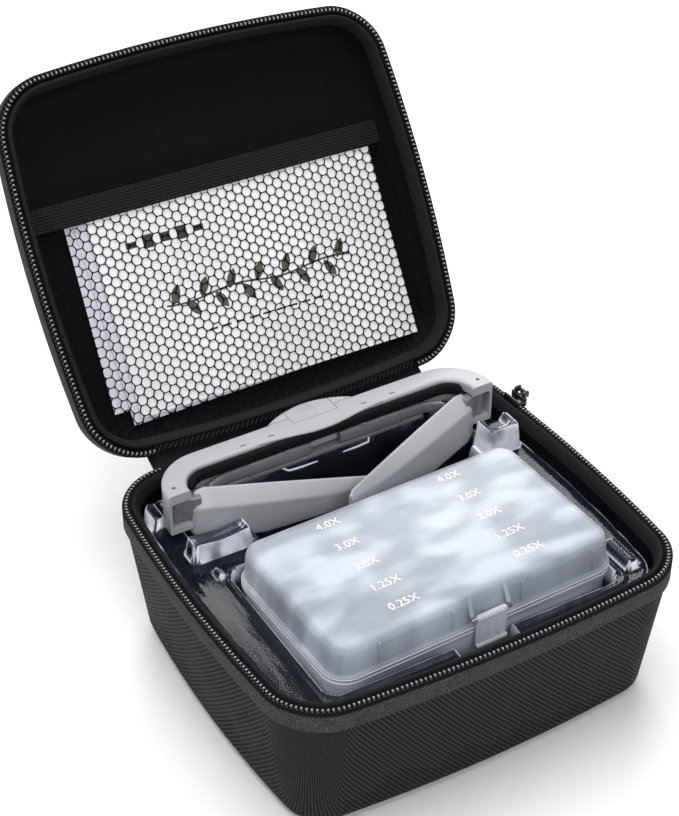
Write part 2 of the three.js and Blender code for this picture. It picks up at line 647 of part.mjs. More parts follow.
function lensRack() {
  let rack = block(-58, 58, -35, 35, 52.3, 57);
  for (let row = 0; row < LENS_ROWS; row++) {
    const y = (row - (LENS_ROWS - 1) / 2) * LENS_PITCH;
    rack = rack.subtract(block(-LENS_W / 2 - 0.6, LENS_W / 2 + 0.6, y - 1.6, y + 1.6, 53.2, 70));
  }
  return rack;
}

function lensBoxGroup() {
  const group = new THREE.Group();
  group.position.set(BOX_X, BOX_Y, 0);
  group.rotation.z = BOX_YAW * deg;
  group.add(
    mesh('lens_box_base', lensBoxBase(), FROSTED()),
    mesh('lens_box_lid', lensBoxLid(), FROSTED()),
    mesh('lens_box_latch', lensBoxLatch(), FROSTED()),
    mesh('latch_pin', rod(0.8, LATCH_X - PIN_HALF, LATCH_X + PIN_HALF, LATCH_Y, LATCH_Z, 'x', 10),
      STEEL()),
    mesh('box_hinge_pin_left', rod(0.8, -45.6, -34, BOX_HINGE_Y, BOX_SPLIT, 'x', 10), STEEL()),
    mesh('box_hinge_pin_right', rod(0.8, 34, 45.6, BOX_HINGE_Y, BOX_SPLIT, 'x', 10), STEEL()),
    mesh('lens_rack', lensRack(), FROSTED()));
  for (let row = 0; row < LENS_ROWS; row++) {
    const y = (row - (LENS_ROWS - 1) / 2) * LENS_PITCH;
    group.add(mesh(`spare_lens_${row + 1}`, lensPlate().translate([0, y, 53.5 + LENS_H]), CLEAR()));
  }
  return group;
}

// ---------------------------------------------------------------- assembly
// The lid and what it holds are drawn closed, then swung open about the hinge line.
function openLid() {
  const swing = new THREE.Group();
  swing.position.set(0, HINGE_Y, HINGE_Z);
  swing.rotation.x = -LID_OPEN * deg;
  const closed = new THREE.Group();
  closed.position.set(0, -HINGE_Y, -HINGE_Z);
  closed.add(...lidParts(), ...papers());
  swing.add(closed);
  return swing;
}

const loupesKit = new THREE.Group();
loupesKit.name = 'dental_loupes_kit';
loupesKit.add(...baseParts(), hingeGusset(), openLid(), zipperGroup());
loupesKit.add(...trayParts(), headsetGroup(), lensBoxGroup());

export default loupesKit;
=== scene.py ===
import math

import bmesh
import bpy
import numpy as np
from mathutils import Matrix, Vector


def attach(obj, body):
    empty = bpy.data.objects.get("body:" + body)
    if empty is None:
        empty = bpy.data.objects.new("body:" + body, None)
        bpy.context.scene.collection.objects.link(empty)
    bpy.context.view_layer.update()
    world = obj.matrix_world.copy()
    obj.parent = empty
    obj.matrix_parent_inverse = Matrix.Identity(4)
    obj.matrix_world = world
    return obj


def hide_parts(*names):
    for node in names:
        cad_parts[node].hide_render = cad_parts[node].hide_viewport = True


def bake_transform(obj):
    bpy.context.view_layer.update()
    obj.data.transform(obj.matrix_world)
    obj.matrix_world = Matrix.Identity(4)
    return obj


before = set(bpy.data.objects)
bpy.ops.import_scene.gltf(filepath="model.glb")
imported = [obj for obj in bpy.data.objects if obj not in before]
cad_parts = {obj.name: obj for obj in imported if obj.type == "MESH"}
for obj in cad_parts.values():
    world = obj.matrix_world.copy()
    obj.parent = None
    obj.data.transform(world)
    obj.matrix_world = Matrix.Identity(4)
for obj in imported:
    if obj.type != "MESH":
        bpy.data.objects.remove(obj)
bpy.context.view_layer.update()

MM = 0.001

# ---------------------------------------------------------------- the case's plan
CASE_W, CASE_D, CASE_R, CASE_BULGE = 200.0, 179.0, 23.5, 5.2
CORNER_STEPS, SIDE_STEPS = 14, 36
HINGE_Y, HINGE_Z, LID_OPEN = 93.75, 79.9, -122.5
ZIP_END = 69.5          # half length of the gap in the zip at the hinge
# Insets of the shell's outside and inside, and of the lining's and the binding's inner faces.
WALL, INNER, LINED, BOUND = 1.2, 3.8, 5.3, 7.7
CORNERS = ((1, -1, -90), (1, 1, 0), (-1, 1, 90), (-1, -1, 180))     # signs, first angle


def outline(width, depth, radius, bulge, corner=CORNER_STEPS, side=SIDE_STEPS):
    """A rounded rectangle seen from above, counter-clockwise, with bowed sides."""
    hx, hy = width / 2, depth / 2
    points = []
    for n, (sx, sy, start) in enumerate(CORNERS):
        cx, cy = sx * (hx - radius), sy * (hy - radius)
        for i in range(corner + 1):
            a = math.radians(start + 90 * i / corner)
            points.append((cx + radius * math.cos(a), cy + radius * math.sin(a)))
        nx, ny, _ = CORNERS[(n + 1) % 4]
        a = math.radians(start + 90)
        to = np.array((nx * (hx - radius) + radius * math.cos(a),
                       ny * (hy - radius) + radius * math.sin(a)))
        origin = np.array(points[-1])
        points += [tuple(origin + (to - origin) * i / side) for i in range(1, side)]
    p = np.array(points)
    x, y = p[:, 0].copy(), p[:, 1].copy()
    return np.stack([x + bulge * (1 - (y / hy) ** 2) * (x / hx),
                     y + bulge * (1 - (x / hx) ** 2) * (y / hy)], 1)


def case_at(inset):
    return outline(CASE_W - 2 * inset, CASE_D - 2 * inset, max(CASE_R - inset, 2), CASE_BULGE)


def matrix(*steps):
    """One 4x4 from steps, the last of which happens first."""
    m = np.eye(4)
    for s in steps:
        m = m @ np.array(s)
    return m


def moved(points, m):
    p = np.asarray(points, float)
    return p @ m[:3, :3].T + m[:3, 3]


def turn(degrees, axis):
    return Matrix.Rotation(math.radians(degrees), 4, axis)


def shift(x, y, z):
    return Matrix.Translation((x, y, z))


def around(sides):
    """Angles spaced evenly round a circle."""
    return np.linspace(0, 2 * math.pi, sides, endpoint=False)


def squared(value, power):
    """A sine or cosine pushed outwards by a power below 1, its sign kept."""
    return math.copysign(abs(value) ** power, value)


def lengths(path):
    """How far along a path each of its points lies."""
    return np.concatenate([[0], np.cumsum(np.linalg.norm(np.diff(path, axis=0), axis=1))])


LID = matrix(shift(0, HINGE_Y, HINGE_Z), turn(LID_OPEN, "X"), shift(0, -HINGE_Y, -HINGE_Z))
HEADSET = matrix(shift(1.2, 57.5, 0), turn(1, "Z"))
BOX = matrix(shift(-0.5, -29, 0), turn(1.8, "Z"))
WORLD = np.eye(4)

# ---------------------------------------------------------------- meshes


class Shape:
    """Points and faces that pieces are made of, with UV in millimetres for the weaves."""

    def __init__(self):
        self.points, self.faces, self.uv, self.count = [], [], [], 0

    def add(self, points, faces, uv=None):
        base = self.count
        self.points.append(np.asarray(points, float))
        self.count += len(points)
        self.faces += [[i + base for i in f] for f in faces]
        self.uv += uv if uv is not None else [[(0.0, 0.0)] * len(f) for f in faces]
        return self

    def place(self, m):
        self.points = [moved(p, m) for p in self.points]
        return self

    def join(self, other):
        return self.add(np.concatenate(other.points), other.faces, other.uv)


def mesh_of(name, shape):
    data = bpy.data.meshes.new(name)
    data.from_pydata((np.concatenate(shape.points) * MM).tolist(), [], shape.faces)
    return data


def put(name, data):
    """A new object in the scene."""
    item = bpy.data.objects.new(name, data)
    bpy.context.scene.collection.objects.link(item)
    return item


def smooth(data, angle):
    """Smooth shading, with edges sharper than the angle kept sharp."""
    data.shade_smooth()
    if angle < 180:
        data.set_sharp_from_angle(angle=math.radians(angle))


def make(name, shape, body, material, replaces=(), angle=35):
    data = mesh_of(name, shape)
    layer = data.uv_layers.new(name="UVMap")
    layer.data.foreach_set("uv", np.array([c for f in shape.uv for c in f], float).ravel() * MM)
    data.materials.append(material)
    return finish_piece(name, data, body, replaces, angle)


def finish_piece(name, data, body, replaces, angle):
    smooth(data, angle)
    item = put(name, data)
    if body:
        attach(item, body)
    if replaces:
        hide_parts(*replaces)
    return item


def rings(profile, at=case_at, closed=False, run=None, cloth=None):
    """Rings of (inset, z) joined in order. run picks the columns of an open run of the outline.
    cloth is the ring from which one flat sheet spreads down the walls, for a moulded weave."""
    loops = [at(inset) for inset, _ in profile]
    base = at(0)
    steps = np.linalg.norm(np.roll(base, -1, 0) - base, axis=1)
    wrap = run is None
    columns = list(range(len(base))) if wrap else list(run)
    along = np.concatenate([[0], np.cumsum(steps[columns])])
    points, across = [], [0.0]
    for j, (inset, z) in enumerate(profile):
        points += [(x, y, z) for x, y in loops[j][columns]]
    ring = profile + [profile[0]] if closed else profile
    for a, b in zip(ring, ring[1:]):
        across.append(across[-1] + math.hypot(a[0] - b[0], a[1] - b[1]))
    n, m = len(columns), len(profile)
    faces, uv = [], []
    for j in range(len(ring) - 1):
        a, b = j * n, ((j + 1) % m) * n
        for i in range(n if wrap else n - 1):
            k = (i + 1) % n
            faces.append([a + i, a + k, b + k, b + i])
            uv.append([(along[i], across[j]), (along[i + 1], across[j]),
                       (along[i + 1], across[j + 1]), (along[i], across[j + 1])])
    if cloth is not None:
        d = np.roll(base, -1, 0) - np.roll(base, 1, 0)
        outward = np.stack([d[:, 1], -d[:, 0]], 1) / np.linalg.norm(d, axis=1)[:, None]
        reach = np.abs(np.array(across[:m]) - across[:m][cloth])
        spread = [tuple(loops[cloth][i] + outward[i] * r) for r in reach for i in range(n)]
        uv = [[spread[i] for i in face] for face in faces]
    if not wrap:
        faces += [[j * n for j in range(m)], [j * n + n - 1 for j in range(m)][::-1]]
        uv += [[(0.0, 0.0)] * m] * 2
    elif not closed:
        last = (m - 1) * n
        faces += [list(range(n))[::-1], [last + i for i in range(n)]]
        uv += [[tuple(points[i][:2]) for i in f] for f in faces[-2:]]
    return Shape().add(points, faces, uv)


def strip(rows, closed=False):
    """A surface through rows of points. If closed, each row closes on itself and the ends are
    filled."""
    n = len(rows[0])
    points = np.array([p for r in rows for p in r], float).reshape(-1, 3)
    grid = points.reshape(len(rows), n, 3)
    u = lengths(grid[:, 0])
    ring = np.concatenate([grid[0], grid[0][:1]]) if closed else grid[0]
    v = lengths(ring)
    faces, uv = [], []
    for j in range(len(rows) - 1):
        for i in range(n if closed else n - 1):
            k = (i + 1) % n
            faces.append([j * n + i, j * n + k, (j + 1) * n + k, (j + 1) * n + i])
            uv.append([(u[j], v[i]), (u[j], v[i + 1]), (u[j + 1], v[i + 1]), (u[j + 1], v[i])])
    if closed:
        last = (len(rows) - 1) * n
        faces += [list(range(n))[::-1], [last + i for i in range(n)]]
        uv += [[(0.0, 0.0)] * n] * 2
    return Shape().add(points, faces, uv)


def rounded(width, height, radius, steps=4):
    """A rounded rectangle's points about its middle, counter-clockwise."""
    out = []
    for sx, sy, start in CORNERS:
        for i in range(steps + 1):
            a = math.radians(start + 90 * i / steps)
            out.append((sx * (width / 2 - radius) + radius * math.cos(a),
                        sy * (height / 2 - radius) + radius * math.sin(a)))
    return out


def puck(plan, levels):
    """A body whose plan outline is moved inwards by (inset, z) levels from low to high."""
    p = np.array(plan, float)
    ahead, behind = np.roll(p, -1, 0) - p, p - np.roll(p, 1, 0)
    t = ahead / np.maximum(np.linalg.norm(ahead, axis=1)[:, None], 1e-9)
    t = t + behind / np.maximum(np.linalg.norm(behind, axis=1)[:, None], 1e-9)
    t /= np.linalg.norm(t, axis=1)[:, None]
    inward = np.stack([-t[:, 1], t[:, 0]], 1)
    rows = [[(x, y, z) for x, y in p + inward * inset] for inset, z in levels]
    return strip(rows, closed=True)


def brick(x0, x1, y0, y1, z0, z1, r=0.4, corner=None):
    """A block with every edge rounded."""
    corner = corner or r
    plan = [(x + (x0 + x1) / 2, y + (y0 + y1) / 2)
            for x, y in rounded(x1 - x0, y1 - y0, corner + 1e-3)]
    s = r * 0.3
    return puck(plan, [(r, z0), (s, z0 + s), (0, z0 + r), (0, z1 - r), (s, z1 - s), (r, z1)])


def tube(path, radius, sides):
    """A round bar along a path of points, its ends drawn in and closed."""
    path = np.array(path, float)
    tangents = np.gradient(path, axis=0)
    rows = []
    count = len(path)
    for i, (p, t) in enumerate(zip(path, tangents)):
        t = t / np.linalg.norm(t)
        side = np.cross(t, (0, 0, 1))
        if np.linalg.norm(side) < 1e-6:
            side = np.array((1.0, 0, 0))
        side /= np.linalg.norm(side)
        up = np.cross(side, t)
        r = radius * (0.55 if i in (0, count - 1) else 1)
        rows.append([p + side * r * math.cos(a) + up * r * math.sin(a)
                     for a in around(sides)])
    return strip(rows, closed=True)


def drum(radius, z0, z1, x, y, sides, r=0.3):
    plan = [(x + radius * math.cos(a), y + radius * math.sin(a))
            for a in around(sides)]
    return puck(plan, [(r, z0), (0, z0 + r), (0, z1 - r), (r, z1)])


def refine(node, name, body, material, bevel, segments=2, flat=1.0, angle=35):
    """A CAD node's shape with its hard edges rounded, to stand for it."""
    bm = bmesh.new()
    bm.from_mesh(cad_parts[node].data)
    bmesh.ops.remove_doubles(bm, verts=bm.verts, dist=2e-6)
    bmesh.ops.dissolve_limit(bm, angle_limit=math.radians(flat), verts=bm.verts, edges=bm.edges)
    edges = [e for e in bm.edges
             if len(e.link_faces) == 2 and e.calc_face_angle(0) > math.radians(angle)]
    bmesh.ops.bevel(bm, geom=edges, offset=bevel * MM, segments=segments, profile=0.5,
                    affect="EDGES", clamp_overlap=True)
    data = bpy.data.meshes.new(name)
    bm.to_mesh(data)
    bm.free()
    data.materials.append(material)
    return finish_piece(name, data, body, [node], angle)


# ---------------------------------------------------------------- materials


class Look:
    """A material round one Principled shader, with helpers for its node tree."""

    def __init__(self, name, colour, roughness, metallic=0.0, **sockets):
        self.material = bpy.data.materials.new(name)
        self.material.use_nodes = True
        self.tree = self.material.node_tree
        self.shader = next(n for n in self.tree.nodes if n.type == "BSDF_PRINCIPLED")
        self.out = next(n for n in self.tree.nodes if n.type == "OUTPUT_MATERIAL")
        self.shader.inputs["Base Color"].default_value = (*colour, 1)
        self.shader.inputs["Roughness"].default_value = roughness
        self.shader.inputs["Metallic"].default_value = metallic
        for key, value in sockets.items():
            self.shader.inputs[key.replace("_", " ")].default_value = value
        self.colour = colour

    def node(self, kind, inputs=(), **settings):
        n = self.tree.nodes.new(kind)
        for key, value in settings.items():
            setattr(n, key, value)
        for key, value in dict(inputs).items():
            if isinstance(value, bpy.types.NodeSocket):
                self.tree.links.new(value, n.inputs[key])
            else:
                n.inputs[key].default_value = value
        return n

    def maths(self, operation, a, b=0.0):
        return self.node("ShaderNodeMath", {0: a, 1: b}, operation=operation).outputs[0]

    def uv(self):
        """U and V in millimetres."""
        parts = self.node("ShaderNodeSeparateXYZ", {0: self.node("ShaderNodeUVMap").outputs[0]})
        return [self.maths("MULTIPLY", parts.outputs[i], 1 / MM) for i in (0, 1)]

    def place(self):
        return self.node("ShaderNodeTexCoord").outputs["Object"]

    def noise(self, scale, detail=3.0, rough=0.55, vector=None):
        return self.node("ShaderNodeTexNoise", {
            "Vector": vector or self.place(), "Scale": scale, "Detail": detail,
            "Roughness": rough}).outputs["Fac"]

    def mix(self, a, share_a, b, share_b):
        return self.maths("ADD", self.maths("MULTIPLY", a, share_a),
                          self.maths("MULTIPLY", b, share_b))

    def facing(self, blend):
        """More where the surface is seen edge on."""
        return self.node("ShaderNodeLayerWeight", {"Blend": blend}).outputs["Facing"]

    def stretched(self, scales):
        """The place in the object, scaled differently along each axis."""
        return self.node("ShaderNodeVectorMath", {0: self.place(), 1: scales},
                         operation="MULTIPLY").outputs[0]

    def wave(self, value, period):
        """0 to 1 and back once in each period of value."""
        turns = self.maths("MULTIPLY", value, 2 * math.pi / period)
        return self.maths("ADD", self.maths("MULTIPLY", self.maths("SINE", turns), 0.5), 0.5)

    def ramp(self, value, stops):
        n = self.node("ShaderNodeValToRGB", {"Fac": value})
        while len(n.color_ramp.elements) < len(stops):
            n.color_ramp.elements.new(0.5)
        for element, (at, colour) in zip(n.color_ramp.elements, stops):
            element.position = at
            element.color = (*colour, 1)
        return n.outputs["Color"]

    def tint(self, value, low, high):
        """Base colour from low to high times the look's colour, by value."""
        stops = [(0.0, [c * low for c in self.colour]), (1.0, [c * high for c in self.colour])]
        self.tree.links.new(self.ramp(value, stops), self.shader.inputs["Base Color"])
        return self

    def spread(self, value, low, high, socket="Roughness"):
        n = self.node("ShaderNodeMapRange", {
            "Value": value, "From Min": 0.3, "From Max": 0.7, "To Min": low, "To Max": high})
        self.tree.links.new(n.outputs[0], self.shader.inputs[socket])
        return self

    def bump(self, value, depth, strength=1.0):
        n = self.node("ShaderNodeBump", {
            "Height": value, "Distance": depth * MM, "Strength": strength})
        self.tree.links.new(n.outputs[0], self.shader.inputs["Normal"])
        return self


RIB_SLANT, RIB_PITCH, CROSS_PITCH = 1.16, 2.0, 1.25


def nylon():
    """Ballistic nylon: slanting ribs across the sheet, broken into dots by finer cross ribs."""
    look = Look("case_nylon", (0.0125, 0.0122, 0.0135), 0.7, Specular_IOR_Level=0.12)
    u, v = look.uv()
    slanted = look.maths("MULTIPLY", u, RIB_SLANT)
    square = 1 / math.hypot(1, RIB_SLANT)
    rib = look.wave(look.maths("SUBTRACT", v, slanted), RIB_PITCH / square)
    cross = look.wave(look.maths("ADD", v, slanted), CROSS_PITCH / square)
    weave = look.mix(rib, 0.7, cross, 0.3)
    patch = look.noise(45, 4)
    shade = look.mix(weave, 0.92, patch, 0.12)
    look.tint(look.maths("POWER", shade, 2.4), 0.12, 5.0)
    look.spread(patch, 0.62, 0.8).bump(weave, 0.45)
    return look.material


def lining():
    look = Look("knit_lining", (0.0052, 0.0054, 0.0066), 0.9, Specular_IOR_Level=0.1)
    fine = look.noise(1700, 2, 0.6)
    patch = look.noise(28, 3)
    shade = look.mix(fine, 0.6, patch, 0.4)
    look.tint(shade, 0.4, 1.8)
    look.spread(patch, 0.82, 0.95).bump(fine, 0.12)
    return look.material


TWILL_SLANT = 0.25


def twill(name, colour, pitch):
    """Woven tape with ribs across it."""
    look = Look(name, colour, 0.78, Specular_IOR_Level=0.12)
    u, v = look.uv()
    rib = look.wave(look.maths("ADD", u, look.maths("MULTIPLY", v, TWILL_SLANT)), pitch)
    fuzz = look.noise(1500, 2, 0.7)
    shade = look.mix(rib, 0.6, fuzz, 0.45)
    look.tint(shade, 0.2, 2.6).spread(fuzz, 0.7, 0.88).bump(shade, 0.22)
    return look.material


def herringbone():
    """Zip tape: a speckled herringbone, a little lighter than the case."""
    look = Look("zip_tape", (0.03, 0.0295, 0.031), 0.75, Specular_IOR_Level=0.15)
    u, v = look.uv()
    fold = look.maths("PINGPONG", v, 1.7)
    rib = look.wave(look.maths("ADD", u, look.maths("MULTIPLY", fold, 1.1)), 1.15)
    speck = look.noise(1350, 1, 0.6)
    shade = look.mix(rib, 0.35, speck, 0.75)
    look.tint(look.maths("POWER", shade, 3.0), 0.2, 6.5)
    look.spread(speck, 0.65, 0.85).bump(shade, 0.2)
    return look.material


def elastic_look():
    look = Look("ribbed_elastic", (0.0085, 0.0085, 0.0095), 0.78, Specular_IOR_Level=0.12)
    u, v = look.uv()
    rib = look.wave(v, 1.5)
    thread = look.wave(u, 0.8)
    shade = look.mix(rib, 0.7, thread, 0.3)
    look.tint(shade, 0.35, 2.4).spread(look.noise(400), 0.7, 0.88).bump(shade, 0.3)
    return look.material


def thread_look(name, colour, roughness=0.6, gloss=0.2):
    look = Look(name, colour, roughness, Specular_IOR_Level=gloss)
    fibre = look.noise(3000, 2)
    look.tint(fibre, 0.6, 1.5).bump(fibre, 0.05)
    return look.material


def plastic(name, colour, roughness, grain=900, depth=0.012):
    """Satin moulded plastic: a fine spark-eroded grain, and faint patches of wear."""
    look = Look(name, colour, roughness)
    grain_value = look.noise(grain, 3, 0.6)
    patch = look.noise(22, 3)
    look.tint(patch, 0.9, 1.08).spread(patch, roughness - 0.07, roughness + 0.1)
    look.bump(grain_value, depth)
    return look.material


def foam_look():
    look = Look("foam", (0.006, 0.006, 0.0068), 0.88, Specular_IOR_Level=0.15)
    cells = look.node("ShaderNodeTexVoronoi", {"Vector": look.place(), "Scale": 1600}).outputs[0]
    look.tint(cells, 0.5, 1.6).spread(look.noise(60), 0.8, 0.95).bump(cells, 0.12)
    return look.material


def paper_look(name, colour):
    look = Look(name, colour, 0.32, Coat_Weight=0.25, Coat_Roughness=0.2)
    fibre = look.noise(500, 4)
    patch = look.noise(12, 2)
    look.tint(patch, 0.965, 1.02).spread(patch, 0.26, 0.4).bump(fibre, 0.01)
    return look.material


def steel_look():
    look = Look("plated_steel", (0.3, 0.3, 0.31), 0.3, 1.0)
    scratch = look.noise(220, 5, 0.65)
    look.tint(scratch, 0.75, 1.15).spread(scratch, 0.2, 0.42).bump(scratch, 0.01)
    return look.material


def see_through(look, clear, share):
    """Mixes the look's shader over a clear one. share says how much of the shader shows."""
    through = look.node("ShaderNodeBsdfTransparent", {"Color": (*clear, 1)})
    mix = look.node("ShaderNodeMixShader", {0: share})
    look.tree.links.new(through.outputs[0], mix.inputs[1])
    look.tree.links.new(look.shader.outputs[0], mix.inputs[2])
    look.tree.links.new(mix.outputs[0], look.out.inputs["Surface"])
    return look.material


def clear_tray():
    """Clear formed sheet over black: dark, glossy and a little hazy, with highlights painted in where
    it bends.
    """
    look = Look("clear_tray", (0.014, 0.017, 0.03), 0.07, Specular_IOR_Level=0.55)
    painted_bend_highlight = look.node("ShaderNodeAttribute", attribute_name="painted_bend_highlight").outputs["Fac"]
    streak = look.noise(1.0, 2, 0.5, look.stretched((95, 20, 60)))
    look.bump(streak, 0.4)
    # Painted highlight: where the sheet bends, broken up by the streaks, the colour ramps to pale
    # blue-white and the sheet hides more of what lies behind it.
    fold = look.maths("POWER", painted_bend_highlight, 1.9)
    painted_glint = look.maths("MULTIPLY", fold, look.maths("MULTIPLY", streak, 1.9))
    stops = [(0.0, look.colour), (0.35, (0.1, 0.11, 0.15)), (1.0, (0.75, 0.78, 0.86))]
    look.tree.links.new(look.ramp(painted_glint, stops), look.shader.inputs["Base Color"])
    look.spread(streak, 0.03, 0.14)
    edge = look.facing(0.42)
    share = look.maths("ADD", look.maths("MULTIPLY", edge, 0.5), 0.22)
    share = look.maths("ADD", share, look.maths("MULTIPLY", painted_glint, 0.8))
    return see_through(look, (0.74, 0.77, 0.86), share)


def frosted(name, colour, low, high, cloud=(26, 62, 12), deep=0.8, bright=1.3):
    """Frosted polypropylene: milky, cloudy over what it holds, milkier seen edge on."""
    look = Look(name, colour, 0.3, Specular_IOR_Level=0.6)
    blobs = look.noise(1.0, 1.5, 0.5, look.stretched(cloud))
    soft_blobs = look.node("ShaderNodeMapRange", {
        "Value": blobs, "From Min": 0.38, "From Max": 0.66}, interpolation_type="SMOOTHSTEP")
    grain = look.noise(1200, 2)
    look.tint(soft_blobs.outputs[0], deep, bright).spread(blobs, 0.25, 0.38).bump(grain, 0.008)
    edge = look.facing(0.3)
    share = look.mix(edge, high - low, soft_blobs.outputs[0], 0.16)
    return see_through(look, (0.84, 0.87, 0.92), look.maths("ADD", share, low - 0.08))


def glass_look(name, colour, share, gloss=0.5):
    look = Look(name, colour, 0.05, Specular_IOR_Level=gloss)
    cloud = look.noise(30, 2)
    look.spread(cloud, 0.03, 0.1).bump(cloud, 0.02)
    share = look.maths("ADD", look.maths("MULTIPLY", look.facing(0.5), 0.6), share)
    return see_through(look, (0.9, 0.93, 0.97), share)


NYLON = nylon()
LINING = lining()
BINDING = twill("twill_binding", (0.0085, 0.0082, 0.0092), 0.95)
TAPE = herringbone()
ELASTIC = elastic_look()
NET = thread_look("net_thread", (0.0035, 0.0035, 0.0045), 0.85, 0.05)
STITCH = thread_look("stitching", (0.03, 0.03, 0.033))
# Both rows are the same black coil: the heads' light grey is painted highlight, the loops keep the
# coil's near-black.
TEETH_PAINTED_GLINT = plastic("zip_teeth", (0.3, 0.3, 0.31), 0.3, 1500, 0.005)
TEETH_BACK = plastic("zip_teeth_back", (0.05, 0.05, 0.053), 0.35, 1500, 0.005)
STEEL = steel_look()
BLACKENED = plastic("blackened_metal", (0.012, 0.012, 0.013), 0.3, 300, 0.01)
CARD = paper_look("card_stock", (0.95, 0.95, 0.97))
LEAFLET = paper_look("leaflet_paper", (0.84, 0.84, 0.93))
INK_OLIVE = paper_look("ink_olive", (0.075, 0.085, 0.058))
INK_DARK = paper_look("ink_dark", (0.03, 0.03, 0.032))
GREY = plastic("cool_grey_plastic", (0.40, 0.41, 0.43), 0.42)
TEMPLE_FACE = plastic("temple_plastic", (0.41, 0.42, 0.445), 0.42)
MID_GREY = plastic("mid_grey_plastic", (0.17, 0.175, 0.185), 0.34)
# Near-black for the band's slots, which are drawn flat: painted shade standing for their recesses.
PAINTED_SLOT_SHADE = plastic("painted_recess_shade", (0.02, 0.02, 0.022), 0.6)
FOAM = foam_look()
TRAY = clear_tray()
FROSTED = frosted("frosted_plastic", (0.56, 0.60, 0.66), 0.46, 0.86, (32, 62, 12), 0.84, 1.22)
FROSTED_BASE = frosted("frosted_base", (0.58, 0.60, 0.64), 0.5, 0.78, (20, 20, 55), 0.72, 1.4)
CLASP = frosted("frosted_clasp", (0.66, 0.68, 0.72), 0.4, 0.9)
LENS = glass_look("lens_plastic", (0.03, 0.032, 0.038), 0.04, 0.12)
FILM = plastic("lens_film", (0.93, 0.94, 0.97), 0.35, 300, 0.25)
# Near white for the raised lens powers, the box's own marks, and for the rim beads, where it is
# painted highlight.
MARKS_AND_RIM_GLINT = plastic("raised_marks_and_rim_glint", (0.80, 0.83, 0.88), 0.35)
LED_LOOK = plastic("led_plastic", (0.85, 0.82, 0.6), 0.2)
BOARD = plastic("board_green", (0.02, 0.15, 0.06), 0.45)
CELL = plastic("cell_wrap", (0.08, 0.2, 0.42), 0.35)

# ---------------------------------------------------------------- case base and lid
base_outer = [(15, 0), (12.8, 0.4), (11, 1.2), (9.6, 2.6), (8.6, 4.5), (8.05, 6.7), (7.8, 9),
              (6.0, 24), (4.2, 39), (2.6, 52), (WALL, 64), (WALL, 74.2)]
base_inner = [(INNER, 74.2), (INNER, 64), (10.4, 9), (11.6, 5.4), (14.6, 2.6)]
make("base_skin", rings(base_outer + base_inner, cloth=0), "case_base", NYLON,
     ["base_floor", "base_wall"])
base_lining = make("base_lining_cloth", rings([
    (14.8, 2.9), (11.9, 5.6), (10.7, 9.2), (4.1, 64), (4.1, 70), (LINED, 70), (LINED, 64),
    (11.9, 9.5), (12.5, 7.6), (13.2, 6.3), (14.2, 5), (15.6, 4.1)]),
    "case_base", LINING, ["base_lining"])

lid_outer = [(WALL, 81.3), (WALL, 87), (WALL, 91.5), (1.6, 95.4), (2.4, 99), (3.4, 101.9),
             (4.8, 104.5), (6.5, 106.7), (8.8, 108.5), (11.3, 109.6), (14, 110)]
lid_inner = [(14.8, 107.4), (10, 106), (7, 102.9), (5, 98.3), (INNER, 91.3), (INNER, 81.3)]
make("lid_skin", rings(lid_inner + lid_outer, cloth=-1).place(LID), "case_lid", NYLON,
     ["lid_wall", "lid_panel"])
lid_lining = make("lid_lining_cloth", rings([
    (16.2, 105.9), (13.8, 105.5), (11.4, 104.6), (9.9, 103.5), (8.6, 102), (7.5, 100.1),
    (6.6, 97.8), (LINED, 91), (LINED, 85.5), (4.1, 85.5), (4.1, 91.2), (5.3, 98.2), (7.3, 102.7),
    (10.2, 105.7), (15, 107.1)]).place(LID), "case_lid", LINING, ["lid_lining"])

base_binding = make("base_binding_tape", rings([
    (4.1, 70.4), (4.1, 76.0), (4.5, 76.5), (5.2, 76.6), (5.8, 76.2), (6.8, 73.8), (BOUND, 71.6),
    (BOUND, 70.4)], closed=True), "case_base", BINDING, ["base_binding"], 60)
lid_binding = make("lid_binding_tape", rings([
    (BOUND, 85.1), (BOUND, 83.8), (6.8, 81.2), (5.8, 78.7), (5.2, 78.2), (4.5, 78.3), (4.1, 78.9),
    (4.1, 85.1)], closed=True).place(LID), "case_lid", BINDING, ["lid_binding"], 60)


def zip_run():
    """The outline's columns from one end of the zip to the other."""
    base = case_at(0)
    gap = (base[:, 1] > 60) & (np.abs(base[:, 0]) < ZIP_END)
    n = len(base)
    start = next(i for i in range(n) if gap[i - 1] and not gap[i])
    return [(start + i) % n for i in range(n) if not gap[(start + i) % n]]


RUN = zip_run()
base_tape = make("base_tape", rings([
    (-0.1, 65.1), (-0.2, 65.6), (-0.2, 73.4), (0.1, 73.9), (0.9, 73.9), (0.9, 65)],
    closed=True, run=RUN), "case_base", TAPE, ["base_zip_tape"], 60)
lid_tape = make("lid_tape", rings([
    (0.9, 90), (0.9, 81.6), (0.1, 81.6), (-0.2, 82.1), (-0.2, 89.5), (-0.1, 90)],
    closed=True, run=RUN).place(LID), "case_lid", TAPE, ["lid_zip_tape"], 60)


LOOK_AHEAD = 0.3        # how far on either side of a point its direction is taken


def even(path, pitch, start):
    """Points every pitch along a path from start, and the path's direction at each."""
    path = np.asarray(path, float)
    gone = lengths(path)
    at = np.arange(start, gone[-1] - 0.5, pitch)
    spots, ahead, back = (
        np.stack([np.interp(at + step, gone, path[:, i]) for i in range(path.shape[1])], 1)
        for step in (0, LOOK_AHEAD, -LOOK_AHEAD))
    d = ahead - back
    return spots, d / np.linalg.norm(d, axis=1)[:, None]


